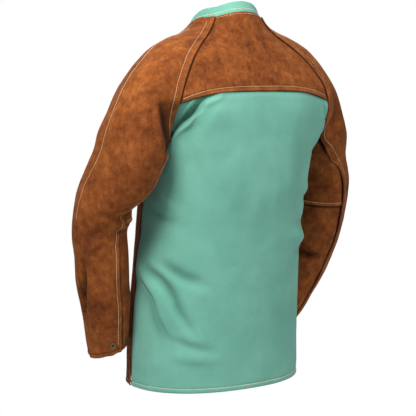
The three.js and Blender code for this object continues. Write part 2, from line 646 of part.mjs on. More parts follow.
// A snap cap standing on a point of the leather's outer face.
function snap(name, { p, n }, lift) {
  const profile = SNAP_PROFILE.map(({ radius, height }) => new THREE.Vector2(radius, height));
  const geometry = new THREE.LatheGeometry(profile, SNAP_SIDES);
  const turn = new THREE.Quaternion().setFromUnitVectors(new THREE.Vector3(0, 1, 0), n);
  const place = p.clone().addScaledVector(n, lift + LEATHER + SNAP_SEAT);
  geometry.applyMatrix4(new THREE.Matrix4().compose(place, turn, new THREE.Vector3(1, 1, 1)));
  const material = new THREE.MeshStandardMaterial({ color: SNAP_COLOUR, roughness: 0.4, metalness: 1 });
  const mesh = new THREE.Mesh(geometry, material);
  mesh.name = name;
  return mesh;
}

function cuffSnap({ side, name, station, angle, lift }) {
  const { centre, outward, back } = ARMS[side].at(station);
  const direction = outward.clone().multiplyScalar(Math.cos(radians(angle)))
    .addScaledVector(back, Math.sin(radians(angle)));
  return snap(name, skin(mirrored(centre, side), mirrored(direction, side), armSide(side)), lift);
}

const frontSnap = (z, i) => (
  snap(`front_snap_${i + 1}`, bodyPoint(180, z, bodySide(0)), BODY_LIFT + LEATHER + LAYER_GAP)
);

const jacket = new THREE.Group();
jacket.add(collar(), ...backPanels(), ...frontPanels());
jacket.add(...sleevePanels(1, "left"), ...sleevePanels(-1, "right"));
jacket.add(...CUFF_SNAPS.map(cuffSnap), ...FRONT_SNAP_HEIGHTS.map(frontSnap));

export default jacket;
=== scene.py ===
# %% [markdown]
# # A welding jacket, panel by panel
# The jacket is sewn from thick napped leather and heavy cotton, and it keeps the form it has when worn.
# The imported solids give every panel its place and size. A panel could be modelled again from nothing,
# but taking its grid of points off the solid keeps it exactly where it belongs, so that is the way here.

# %% Open the frame
import math

import bmesh
import bpy
import numpy as np
from mathutils import Matrix, Vector, kdtree, noise


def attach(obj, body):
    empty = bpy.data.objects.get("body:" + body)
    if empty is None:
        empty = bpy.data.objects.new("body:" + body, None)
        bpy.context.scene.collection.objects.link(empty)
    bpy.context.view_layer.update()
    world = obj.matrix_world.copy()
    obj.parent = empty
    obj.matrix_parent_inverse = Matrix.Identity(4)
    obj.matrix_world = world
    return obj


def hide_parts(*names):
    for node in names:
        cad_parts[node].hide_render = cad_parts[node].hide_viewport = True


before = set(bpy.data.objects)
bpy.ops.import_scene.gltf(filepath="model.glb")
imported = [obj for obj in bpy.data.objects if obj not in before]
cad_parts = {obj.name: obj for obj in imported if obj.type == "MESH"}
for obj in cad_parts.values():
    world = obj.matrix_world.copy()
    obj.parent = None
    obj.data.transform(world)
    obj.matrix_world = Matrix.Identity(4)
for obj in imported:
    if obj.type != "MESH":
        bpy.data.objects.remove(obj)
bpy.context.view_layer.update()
scene = bpy.context.scene
MM = 0.001
print("solids in the frame:", len(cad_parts))

# %% [markdown]
# ## The viewpoint
# The jacket is seen from behind and from its own left, at chest height, with a long lens. A long lens
# keeps the near sleeve and the far one in proportion, so the outline can be compared point by point.
# The jacket hangs a little off the middle of the picture, and a shift of the lens gives that in pixels.

# %% Camera
VIEW_AZIMUTH = 145
VIEW_ELEVATION = 5.8
VIEW_TARGET = Vector((0, 0, -0.388))
VIEW_DISTANCE = 2.8
VIEW_WIDTH = 0.8568
PICTURE_WIDTH = 416
PICTURE_SHIFT = -17.7
SENSOR = 36


def direction(azimuth, elevation):
    """A direction of length 1. The azimuth counts from the front towards the jacket's own left."""
    a, e = math.radians(azimuth), math.radians(elevation)
    return Vector((math.sin(a) * math.cos(e), -math.cos(a) * math.cos(e), math.sin(e)))


towards_camera = direction(VIEW_AZIMUTH, VIEW_ELEVATION)
bpy.ops.object.select_all(action="DESELECT")
bpy.ops.object.camera_add(location=VIEW_TARGET + towards_camera * VIEW_DISTANCE)
camera = bpy.context.object
camera.rotation_euler = (-towards_camera).to_track_quat("-Z", "Y").to_euler()
camera.data.sensor_width = SENSOR
camera.data.lens = SENSOR * VIEW_DISTANCE / VIEW_WIDTH
camera.data.shift_x = PICTURE_SHIFT / PICTURE_WIDTH
scene.camera = camera
print("lens:", round(camera.data.lens, 1), "mm")

# %% [markdown]
# ## Writing finishes as sums
# A finish is a chain of nodes. Chains are hard to read, so one small class wraps a socket and lets
# plain arithmetic add the Math nodes. Every other node comes from its one method.

# %% Shader sums
MIX_SHARE, MIX_FIRST, MIX_SECOND = 0, 6, 7
MIX_COLOUR = 2


class Tone:
    """A socket of a material that takes part in sums."""

    def __init__(self, tree, socket=None):
        self.tree = tree
        self.socket = socket

    def node(self, kind, settings=None, inputs=None, out=0):
        """A new node with its settings, then the values or links of its sockets."""
        made = self.tree.nodes.new(kind)
        for name, value in (settings or {}).items():
            if name == "stops":
                self.set_stops(made.color_ramp, value)
            else:
                setattr(made, name, value)
        for key, value in (inputs or {}).items():
            if isinstance(value, Tone):
                self.tree.links.new(value.socket, made.inputs[key])
            else:
                made.inputs[key].default_value = value
        return Tone(self.tree, made.outputs[out])

    @staticmethod
    def set_stops(ramp, stops):
        while len(ramp.elements) < len(stops):
            ramp.elements.new(1)
        for element, (place, colour) in zip(ramp.elements, stops):
            element.position = place
            element.color = (*colour, 1)

    def maths(self, operation, first, second):
        return self.node("ShaderNodeMath", {"operation": operation}, {0: first, 1: second})

    def __add__(self, other):
        return self.maths("ADD", self, other)

    def __radd__(self, other):
        return self.maths("ADD", other, self)

    def __sub__(self, other):
        return self.maths("SUBTRACT", self, other)

    def __rsub__(self, other):
        return self.maths("SUBTRACT", other, self)

    def __mul__(self, other):
        return self.maths("MULTIPLY", self, other)

    def __rmul__(self, other):
        return self.maths("MULTIPLY", other, self)

    def noise(self, scale, detail, roughness):
        inputs = {"Vector": self, "Scale": scale, "Detail": detail, "Roughness": roughness}
        return self.node("ShaderNodeTexNoise", None, inputs)

    def stretched(self, scale):
        return self.node("ShaderNodeMapping", None, {"Vector": self, "Scale": scale})

    def ramp(self, stops):
        return self.node("ShaderNodeValToRGB", {"stops": stops}, {"Fac": self})

    def tinted(self, colour, share):
        settings = {"data_type": "RGBA", "blend_type": "MIX"}
        inputs = {MIX_SHARE: share, MIX_FIRST: self, MIX_SECOND: colour}
        return self.node("ShaderNodeMix", settings, inputs, MIX_COLOUR)


print("tones can be added, subtracted and multiplied")

# %% [markdown]
# Each finish starts in the same way: a new material with its shader, and the object's own coordinates,
# so that a pattern stays on its piece. Three more helpers read a mark on the mesh, link a tone to the
# shader and add bumps.

# %% Starting a finish
def finish(name, roughness, **constants):
    """A new material, its shader node and its object coordinates."""
    material = bpy.data.materials.new(name)
    material.use_nodes = True
    shader = material.node_tree.nodes["Principled BSDF"]
    shader.inputs["Roughness"].default_value = roughness
    for key, value in constants.items():
        shader.inputs[key.replace("_", " ")].default_value = value
    place = Tone(material.node_tree).node("ShaderNodeTexCoord", None, None, "Object")
    return material, shader, place


def mark(place, name):
    """A value that the mesh carries at each of its points."""
    return place.node("ShaderNodeAttribute", {"attribute_name": name}, None, "Fac")


def wire(shader, socket, tone):
    """Links a tone to a socket of the shader."""
    tone.tree.links.new(tone.socket, shader.inputs[socket])


def bumped(shader, height, strength, depth):
    """Gives the surface small bumps that follow a height."""
    inputs = {"Strength": strength, "Distance": depth, "Height": height}
    wire(shader, "Normal", height.node("ShaderNodeBump", None, inputs))


print("finishes can be written as sums")

# %% [markdown]
# ## Split leather
# The leather is the rough inner split of the hide. Its nap lies in cloudy patches, lighter where it is
# brushed one way and darker the other, with fine fibres everywhere and a darker line along each seam.
# Noise at four sizes gives the patches and the fibres, and an attribute on the mesh marks the seams; the
# same attribute carries painted shade in creases, under laps and tucked edges and in the armpit pocket.

# %% Leather finish
NAP_SHADES = [
    (0.36, (0.070, 0.0165, 0.0036)),
    (0.45, (0.150, 0.0390, 0.0085)),
    (0.52, (0.220, 0.0610, 0.0130)),
    (0.62, (0.350, 0.1080, 0.0240)),
]
# near-black brown for the dark seams and for painted shade in creases, under laps and tucked edges and in
# the armpit pocket
LEATHER_SEAM_AND_SHADE = (0.010, 0.0034, 0.0016, 1)
LEATHER_RUBBED = (0.44, 0.165, 0.058, 1)
LEATHER_SEAM_AND_SHADE_SHARE = 0.97
NAP_LENGTH = 1.4 * MM


def make_leather():
    material, shader, place = finish(
        "split_leather", 0.95, Sheen_Weight=0.03, Sheen_Roughness=0.45,
        Sheen_Tint=(1.0, 0.62, 0.36, 1), Specular_IOR_Level=0.12,
    )
    clouds = place.noise(12, detail=3, roughness=0.55)
    patches = place.noise(52, detail=5, roughness=0.66)
    strokes = place.stretched((130, 130, 58)).noise(1, detail=4, roughness=0.66)
    fibres = place.noise(430, detail=3, roughness=0.7)
    nap = clouds * 0.26 + patches * 0.34 + strokes * 0.20 + fibres * 0.20
    colour = nap.ramp(NAP_SHADES)
    seam = mark(place, "seam")
    edge = mark(place, "edge")
    # dark seams and painted shade, both read from one mark on the mesh
    colour = colour.tinted(LEATHER_SEAM_AND_SHADE, seam * LEATHER_SEAM_AND_SHADE_SHARE)
    colour = colour.tinted(LEATHER_RUBBED, edge * (0.1 + 0.5 * patches))
    wire(shader, "Base Color", colour)
    wire(shader, "Roughness", 0.84 + fibres * 0.2)
    bumped(shader, fibres * 0.5 + strokes * 0.5 + patches * 0.7, strength=0.6, depth=NAP_LENGTH)
    return material


leather = make_leather()
print("finish:", leather.name)

# %% [markdown]
# ## Heavy cotton
# The back and the collar are a stout twill. Seen close, fine diagonal ribs cross it; from a distance it
# is even, with faint clouds from wear. The ribs follow the cloth's own cut, so they read its UV map.

# %% Cotton finish
TWILL_PITCH = 1.3 * MM
TWILL_SLOPE = 0.8
TWILL_SHADES = [
    (0.32, (0.121, 0.340, 0.248)),
    (0.50, (0.149, 0.398, 0.295)),
    (0.68, (0.179, 0.448, 0.336)),
]
# dark green for the seams and for painted shade in creases, under laps and tucked edges and in the armpit
# pocket
COTTON_SEAM_AND_SHADE = (0.030, 0.110, 0.082, 1)
COTTON_SEAM_AND_SHADE_SHARE = 0.7
CREASE_DEPTH = 1.2 * MM


def make_cotton():
    material, shader, place = finish(
        "cotton_twill", 0.9, Sheen_Weight=0.1, Sheen_Roughness=0.6, Specular_IOR_Level=0.15,
    )
    cut = place.node("ShaderNodeUVMap", {"uv_map": "cut"})
    across = cut.node("ShaderNodeSeparateXYZ", None, {"Vector": cut}, "X")
    down = cut.node("ShaderNodeSeparateXYZ", None, {"Vector": cut}, "Y")
    turn = (across + down * TWILL_SLOPE) * (2 * math.pi / TWILL_PITCH)
    ribs = turn.node("ShaderNodeMath", {"operation": "SINE"}, {0: turn})
    slubs = place.stretched((900, 900, 160)).noise(1, detail=2, roughness=0.5)
    clouds = place.noise(9, detail=3, roughness=0.55)
    creases = place.noise(34, detail=4, roughness=0.6)
    tone = clouds * 0.55 + creases * 0.25 + slubs * 0.2 + ribs * 0.012
    colour = tone.ramp(TWILL_SHADES)
    # dark seams and painted shade, both read from one mark on the mesh
    colour = colour.tinted(COTTON_SEAM_AND_SHADE, mark(place, "seam") * COTTON_SEAM_AND_SHADE_SHARE)
    wire(shader, "Base Color", colour)
    wire(shader, "Roughness", 0.82 + slubs * 0.14)
    bumped(shader, ribs * 0.12 + slubs * 0.25 + creases * 0.9, strength=0.35, depth=CREASE_DEPTH)
    return material


cotton = make_cotton()
print("finish:", cotton.name)

# %% [markdown]
# ## Thread and snaps
# The thread is thick and slightly glossy from its twist: tan on the leather, cream on the cotton. The
# snaps are dull aged brass, dark in the hollows and rubbed bright on the rims. One function makes both
# threads from their shades, because only the dye differs.

# %% Thread and brass finishes
TAN_SHADES = [(0.30, (0.33, 0.21, 0.10)), (0.55, (0.52, 0.36, 0.19)), (0.75, (0.66, 0.52, 0.32))]
CREAM_SHADES = [(0.30, (0.56, 0.48, 0.30)), (0.55, (0.76, 0.68, 0.46)), (0.75, (0.86, 0.80, 0.62))]
BRASS_SHADES = [(0.22, (0.045, 0.034, 0.022)), (0.45, (0.20, 0.15, 0.085)), (0.75, (0.62, 0.52, 0.36))]
TWIST_DEPTH = 0.4 * MM
TARNISH_DEPTH = 0.3 * MM


def make_thread(name, shades):
    material, shader, place = finish(name, 0.6, Sheen_Weight=0.1)
    twist = place.noise(1400, detail=2, roughness=0.5)
    worn = place.noise(120, detail=2, roughness=0.5)
    wire(shader, "Base Color", (twist * 0.4 + worn * 0.6).ramp(shades))
    bumped(shader, twist, strength=0.5, depth=TWIST_DEPTH)
    return material


def make_brass():
    material, shader, place = finish("aged_brass", 0.4, Metallic=1.0)
    tarnish = place.noise(700, detail=3, roughness=0.6)
    rubbed = mark(place, "edge")
    wire(shader, "Base Color", (tarnish * 0.5 + rubbed * 0.5).ramp(BRASS_SHADES))
    wire(shader, "Roughness", 0.55 - rubbed * 0.25)
    bumped(shader, tarnish, strength=0.2, depth=TARNISH_DEPTH)
    return material


tan_thread = make_thread("tan_thread", TAN_SHADES)
cream_thread = make_thread("cream_thread", CREAM_SHADES)
brass = make_brass()
print("finishes:", tan_thread.name, cream_thread.name, brass.name)

# %% [markdown]
# ## Taking a panel off its solid
# Every panel solid is a sheet with two faces and a rim. Points that stand opposite each other on the two
# faces are one sheet thickness apart, so triangles that hold such a pair are the rim. With the rim gone
# the two faces come apart, and the larger one is the outer one.

# %% Telling the rim from the faces
PAIR_REACH = 1.2


def pair_up(bm, thickness):
    """For each vertex, the one opposite it on the other face."""
    tree = kdtree.KDTree(len(bm.verts))
    for vert in bm.verts:
        tree.insert(vert.co, vert.index)
    tree.balance()
    partner = {}
    for vert in bm.verts:
        near = tree.find_range(vert.co, thickness * PAIR_REACH)
        best = min((abs(gap - thickness), index) for _, index, gap in near if index != vert.index)
        partner[vert.index] = best[1]
    return partner


def loose_parts(faces):
    """Groups of faces that hang together."""
    left = set(faces)
    groups = []
    while left:
        group = [left.pop()]
        for face in group:
            for edge in face.edges:
                for other in edge.link_faces:
                    if other in left:
                        left.remove(other)
                        group.append(other)
        groups.append(group)
    return groups


print("opposite points are sought within", PAIR_REACH, "thicknesses")

# %% [markdown]
# The points of the outer face fall into rows and columns. A corner has at most two triangles, and the
# highest side between two corners is the first row. Each further row holds the points that the triangles
# below the last row bring in.

# %% Reading rows and columns
LEATHER = 1.6 * MM
MERGE_DISTANCE = 0.02 * MM


def side_from(corner, first, corners):
    """The points of a sheet's border from one corner to the next."""
    side = [corner, first]
    while side[-1] not in corners:
        ways = [e.other_vert(side[-1]) for e in side[-1].link_edges if e.is_boundary]
        side.append(next(v for v in ways if v is not side[-2]))
    return side


def sheet_rows(bm):
    """The vertices of a sheet of triangles as rows, from its highest side downwards."""
    corners = [v for v in bm.verts if len(v.link_faces) <= 2]
    sides = []
    for corner in corners:
        for edge in corner.link_edges:
            if edge.is_boundary:
                sides.append(side_from(corner, edge.other_vert(corner), corners))
    top = max(sides, key=lambda side: sum(v.co.z for v in side) / len(side))
    flank = next(s for s in sides if s[0] is top[0] and s[-1] is not top[-1])
    rows = [top]
    used = set()
    for start in flank[1:]:
        above = set(rows[-1])
        strip = {f for v in above for f in v.link_faces} - used
        used |= strip
        fresh = {v for f in strip for v in f.verts} - above
        row = [start]
        while len(row) < len(top):
            ways = [e.other_vert(row[-1]) for e in row[-1].link_edges]
            row.append(next(v for v in ways if v in fresh and v not in row))
        rows.append(row)
    return rows


def outer_grid(node, thickness, order):
    """Points of a solid's outer face by row and column, and the turn of its normals. The first column
    is the side for which order gives the smaller number."""
    bm = bmesh.new()
    bm.from_mesh(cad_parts[node].data)
    bmesh.ops.remove_doubles(bm, verts=bm.verts, dist=MERGE_DISTANCE)
    bm.verts.index_update()
    partner = pair_up(bm, thickness)
    rim = [f for f in bm.faces if any(partner[v.index] in {w.index for w in f.verts} for v in f.verts)]
    bmesh.ops.delete(bm, geom=rim, context="FACES_ONLY")
    faces = loose_parts(bm.faces)
    inner = min(faces, key=lambda group: sum(f.calc_area() for f in group))
    bmesh.ops.delete(bm, geom=inner, context="FACES")
    rows = sheet_rows(bm)
    points = np.array([[v.co for v in row] for row in rows])
    if order(points[:, 0].mean(axis=0)) > order(points[:, -1].mean(axis=0)):
        points = points[:, ::-1]
        rows = [row[::-1] for row in rows]
    a, b, c = rows[0][0].co, rows[1][0].co, rows[0][1].co
    face = next(f for f in rows[0][0].link_faces)
    turn = 1 if (b - a).cross(c - a).dot(face.normal) > 0 else -1
    bm.free()
    return points, turn


def across_x(point):
    """Columns count from the jacket's right to its left."""
    return point[0]


trial, trial_turn = outer_grid("back_yoke", LEATHER, across_x)
print("yoke grid:", trial.shape[:2], "turn", trial_turn)

# %% [markdown]
# ## From a coarse grid to soft cloth
# The solids are faceted. A smooth curve through each column and then through each row gives a fine
# sheet; a plain subdivision would pull the edges in, and the seams have to stay where they are.
# Points crowd together at sewn edges, so that a rolled edge and a stitched groove have room to show.

# %% Fine sheets
EDGE_STEPS = np.array([0, 0.8, 1.8, 3.2, 5.2, 7.4, 9.0, 10.2, 11.4, 12.8, 14.4, 16.4, 19.5]) * MM
CURVE_STEPS = 10
RELAX_WEIGHTS = (0.5, -0.53)


def spline(points, knots, at):
    """A smooth curve through points, read at the given places along it."""
    slopes = np.gradient(points, knots, axis=0)
    k = np.clip(np.searchsorted(knots, at, side="right") - 1, 0, len(knots) - 2)
    width = (knots[k + 1] - knots[k])[:, None]
    f = (at - knots[k])[:, None] / width
    return ((2 * f**3 - 3 * f**2 + 1) * points[k] + (f**3 - 2 * f**2 + f) * width * slopes[k]
            + (3 * f**2 - 2 * f**3) * points[k + 1] + (f**3 - f**2) * width * slopes[k + 1])


def travelled(line):
    """Distance from the start of a line to each of its points."""
    return np.concatenate([[0], np.cumsum(np.linalg.norm(np.diff(line, axis=0), axis=1))])


def places(length, fine, count):
    """Distances along a line: close together at a sewn end, even elsewhere."""
    shrink = min(1, length / (3 * EDGE_STEPS[-1]))
    start = EDGE_STEPS * shrink if fine[0] else EDGE_STEPS[:1]
    end = length - (EDGE_STEPS * shrink if fine[1] else EDGE_STEPS[:1])[::-1]
    return np.concatenate([start, np.linspace(start[-1], end[0], count + 2)[1:-1], end])


def at_distance(values, far, distance):
    """What a line carries, its points or its normals, at one distance from its start or at several."""
    return np.stack([np.interp(distance, far, values[:, k]) for k in range(3)], axis=-1)


def redraw(line, fine, count):
    """A line of points drawn again as a smooth curve with points at the wanted places."""
    knots = travelled(line)
    dense = spline(line, knots, np.linspace(0, knots[-1], CURVE_STEPS * len(line)))
    distance = travelled(dense)
    return at_distance(dense, distance, places(distance[-1], fine, count))


def relaxed(grid, rounds, margin):
    """Evens out small zigzags without shrinking the sheet. The margins stay where they are."""
    inner = np.s_[margin:-margin, margin:-margin]
    for weight in RELAX_WEIGHTS * rounds:
        mean = (grid[:-2, 1:-1] + grid[2:, 1:-1] + grid[1:-1, :-2] + grid[1:-1, 2:]) / 4
        pulled = grid.copy()
        pulled[1:-1, 1:-1] += weight * (mean - grid[1:-1, 1:-1])
        grid = grid.copy()
        grid[inner] = pulled[inner]
    return grid


print("edge rows:", len(EDGE_STEPS))

# %% [markdown]
# Every push fades with a distance. A step rises smoothly from 0 to 1, a bell falls off on both sides of a
# line, and a ripple is soft noise. A blur then mixes neighbours, because a grid shows steps where a narrow
# fold runs across it at a slant.

# %% Fading and rippling
NOISE_STEP = (7.31, 3.17, 5.77)


def blurred(values, rounds):
    """Mixes every value with its neighbours, so that a slanting fold has no steps."""
    for _ in range(rounds):
        for axis in (0, 1):
            size = values.shape[axis]
            before = values.take(np.maximum(np.arange(size) - 1, 0), axis)
            after = values.take(np.minimum(np.arange(size) + 1, size - 1), axis)
            values = 0.5 * values + 0.25 * (before + after)
    return values


def step(value, low, high):
    """0 below low, 1 above high, and a smooth rise between."""
    f = np.clip((value - low) / (high - low), 0, 1)
    return f * f * (3 - 2 * f)


def bell(distance, width):
    """1 at a distance of 0, falling off smoothly over the width."""
    return np.exp(-((distance / width) ** 2))


def ripple(points, size, seed):
    """Soft noise of about the given size at each point, from -1 to 1."""
    shift = Vector([seed * stride for stride in NOISE_STEP])
    flat = points.reshape(-1, 3) / size
    values = [noise.noise(Vector(p) + shift) for p in flat]
    return np.array(values).reshape(points.shape[:-1])


print("a bell at its own width:", round(float(bell(1.0, 1.0)), 3))

# %% [markdown]
# ## A panel's grid
# A panel holds its fine grid and the distance of every point from each of its four edges. Folds, rolled
# edges, stitched grooves and tucked seams are all pushes along the normal that depend on a distance, so
# they add up in one array and are applied together. Two more arrays mark rubbed edges and dark seams; the
# seam array also holds painted shade in creases, under laps and tucked edges and in the armpit pocket.

# %% Sheets
ALL_EDGES = "left right top bottom"


class Sheet:
    """The fine grid of one cut piece of leather or cotton."""

    def __init__(self, name, node, thickness, order, pitch, fine, rounds=1, margin=1):
        self.name = name
        self.node = node
        self.thickness = thickness
        grid, self.turn = outer_grid(node, thickness, order)
        grid = relaxed(grid, rounds, margin)
        down = ("top" in fine, "bottom" in fine)
        across = ("left" in fine, "right" in fine)
        grid = self.redrawn(grid, down, pitch)
        grid = self.redrawn(grid.swapaxes(0, 1), across, pitch).swapaxes(0, 1)
        self.set_grid(grid)
        self.cut = np.stack([self.away["left"], self.away["top"]], axis=2)
        self.push = np.zeros(grid.shape[:2])
        self.shift = np.zeros(grid.shape)
        self.seam = np.zeros(grid.shape[:2])
        self.edge = np.zeros(grid.shape[:2])

    @staticmethod
    def redrawn(grid, fine, pitch):
        """The grid with each of its columns drawn again at about the wanted pitch in millimetres."""
        lengths = [travelled(grid[:, j])[-1] for j in range(grid.shape[1])]
        room = np.mean(lengths) - sum(fine) * EDGE_STEPS[-1]
        count = max(3, round(room / (pitch * MM)))
        return np.stack([redraw(grid[:, j], fine, count) for j in range(grid.shape[1])], axis=1)

    def set_grid(self, grid):
        """Takes over new points and measures their normals and their distances from the edges."""
        self.x = grid
        right = np.linalg.norm(np.diff(grid, axis=1), axis=2)
        down = np.linalg.norm(np.diff(grid, axis=0), axis=2)
        left = np.concatenate([np.zeros((len(grid), 1)), np.cumsum(right, axis=1)], axis=1)
        top = np.concatenate([np.zeros((1, grid.shape[1])), np.cumsum(down, axis=0)], axis=0)
        self.away = {"left": left, "right": left[:, -1:] - left, "top": top, "bottom": top[-1:] - top}
        normal = np.cross(np.gradient(grid, axis=0), np.gradient(grid, axis=1)) * self.turn
        self.n = normal / np.maximum(np.linalg.norm(normal, axis=2, keepdims=True), 1e-12)

    def flat_size(self):
        """Width, length and area of the cut before it was folded."""
        width = self.away["left"][:, -1].max()
        length = self.away["top"][-1].max()
        a = np.cross(self.x[1:, 1:] - self.x[:-1, :-1], self.x[1:, :-1] - self.x[:-1, 1:])
        return width, length, np.linalg.norm(a, axis=2).sum() / 2

    def darken(self, amount):
        """Marks a dark seam, or paints shade into a crease or hollow. Where two marks meet, the darker one
        stays.
        """
        self.seam = np.maximum(self.seam, amount)

    def wrinkle(self, size, height, seed, stretch=(1, 1, 1)):
        """Uneven soft waves all over, longer along the axes with a large stretch."""
        self.push += height * MM * ripple(self.x / np.array(stretch), size * MM, seed)

    def settle(self):
        """Applies every push so far."""
        self.set_grid(self.x + self.n * self.push[..., None] + self.shift)
        self.push[:] = 0
        self.shift[:] = 0

    def line(self, edge, inset, start=0.0, stop=0.0):
        """Points and normals of a line at a distance from an edge, for the thread to follow."""
        d, x, n = self.away[edge], self.x, self.n
        if edge in ("top", "bottom"):
            d, x, n = d.T, x.swapaxes(0, 1), n.swapaxes(0, 1)
        if edge in ("right", "bottom"):
            d, x, n = d[:, ::-1], x[:, ::-1], n[:, ::-1]
        inset = np.broadcast_to(inset, (len(d),))
        points, normals = [
            np.array([at_distance(values[i], d[i], inset[i]) for i in range(len(d))]) for values in (x, n)
        ]
        far = travelled(points)
        keep = (far >= start) & (far <= far[-1] - stop)
        return points[keep], normals[keep]


print("edges of a sheet:", ALL_EDGES)

# %% [markdown]
# ## Sewn edges
# At a seam one edge laps over the other. The upper one is turned under and stitched, so it is plump with
# a groove beside it, and its rim is rubbed pale. The lower one dips out of sight and lies in shadow. A
# strip of its own could stand for each, but a push keeps the edge part of its sheet. A drop or a depth
# is in millimetres, and a wave is the share by which the puckers of a seam change its form.

# %% Rolled and tucked edges
PUCKER_SIZE = 11 * MM
PLUMP_POWER = 0.7
PLUMP_WAVE = 0.35
TURNED_WIDTH = 2.2 * MM
TURNED_DROP = 1.1
GROOVE_WIDTH = 1.5 * MM
GROOVE_DEPTH = 0.75
GROOVE_WAVE = 0.3
BEYOND_WIDTH = 5 * MM
BEYOND_WAVE = 0.35
GROOVE_SHADE, GROOVE_SHADE_WIDTH = 0.35, 1.3 * MM
BRINK_SHADE, BRINK_SHADE_WIDTH = 0.6, 1.2 * MM
RUBBED_SHARE, RUBBED_AT, RUBBED_WIDTH = 0.6, 3.5 * MM, 2 * MM
TUCK_START = 0.6
TUCK_SHADE_WIDTH = 5 * MM
REACH_WIDTH = 40 * MM


class SewnSheet(Sheet):
    """A sheet with edges that lap over or under those of its neighbours."""

    def roll(self, edge, inset, puff=1.0, where=1.0):
        """An edge that laps over its neighbour: turned under, plump, with a stitched groove."""
        d = self.away[edge]
        along = self.away["top" if edge in ("left", "right") else "left"]
        seam_place = np.stack([along, along * 0, along * 0], axis=2)
        pucker = ripple(seam_place, PUCKER_SIZE, len(self.name) + 1)
        share = np.clip(d / inset, 0, 1)
        plump = puff * np.sin(np.pi * share) ** PLUMP_POWER * (1 + PLUMP_WAVE * pucker)
        turned = -TURNED_DROP * (1 - np.clip(d / TURNED_WIDTH, 0, 1)) ** 2
        groove = -GROOVE_DEPTH * bell(d - inset, GROOVE_WIDTH) * (1 + GROOVE_WAVE * pucker)
        beyond = BEYOND_WAVE * pucker * bell(d - inset - BEYOND_WIDTH, BEYOND_WIDTH)
        self.push += (plump + turned + groove + beyond) * MM * where
        self.darken(GROOVE_SHADE * where * bell(d - inset, GROOVE_SHADE_WIDTH))
        self.darken(BRINK_SHADE * where * bell(d, BRINK_SHADE_WIDTH))
        self.edge = np.maximum(self.edge, RUBBED_SHARE * bell(d - RUBBED_AT, RUBBED_WIDTH) * where)

    def tuck(self, edge, lap, depth, reach, where=1.0):
        """An edge that goes under its neighbour: the sheet dips towards the seam and gets painted shade
        along it.
        """
        d = self.away[edge]
        self.push -= depth * MM * (1 - step(d, lap * TUCK_START, lap + reach)) * where
        # painted shade where the edge goes under its neighbour
        self.darken(where * (1 - step(d, lap, lap + TUCK_SHADE_WIDTH)))

    def reach(self, edge, amount, where):
        """Lets a side edge go further under its neighbour, the way its last columns point."""
        last, inner = (0, 4) if edge == "left" else (-1, -5)
        out = self.x[:, [last]] - self.x[:, [inner]]
        out = out / np.linalg.norm(out, axis=2, keepdims=True)
        self.shift += out * (amount * MM * (1 - step(self.away[edge], 0, REACH_WIDTH)) * where)[..., None]


print("rolled edge:", TURNED_WIDTH / MM, "mm wide")

# %% [markdown]
# ## Folds
# Leather and heavy cotton fold in four ways here. A soft fold is a ridge or a crease, and a crease gets
# painted shade. A lap hangs over itself, so it also leans sideways and has painted shade on the cloth
# below it. A pocket sinks everything between two lines, as at the armpit, and paints shade into it. An
# ease moves all that is near a line, and so carries a seam along. Cloth simulation would find such folds
# by itself, but not in the places that this jacket has them.

# %% Folded sheets
LINE_STEPS = 5
LINE_END_SHARE = 0.02
CREASE_FULL, CREASE_DARKEST = 14, 0.8
LAP_ROUND, LAP_HOLLOW = 1.5, 0.8
LAP_SHADE_AT, LAP_SHADE_SPREAD, LAP_SHADE_SOFT = 1.3, 0.45, 1.5 * MM
LAP_FULL, LAP_DARKEST = 20, 0.8
LAP_LEAN, LAP_NOSE = 0.3, 2.5
POCKET_OUT = np.array([0.57, 0.81, 0.10])
POCKET_RIGHT = np.array([-0.82, 0.57, 0.0])
POCKET_FOOT = (-276, -258)
POCKET_BEHIND = 30 * MM
POCKET_LEFT_BANK, POCKET_RIGHT_BANK = (-1, 5), (-9, 1)
POCKET_SHADE, POCKET_SHADE_RISE = 1.3, 2.5
POCKET_SHADE_WIDTH, POCKET_SHADE_WIDENS = 4, 17
POCKET_RIM_SHADE, POCKET_RIM_AT, POCKET_RIM_WIDTH = 0.7, 8, 4


def pocket_edge(height, points):
    """How far to the right a pocket's edge lies at each height, in millimetres."""
    line = np.array(sorted(points, key=lambda point: point[2]), float)
    return np.interp(height, line[:, 2], line @ POCKET_RIGHT)


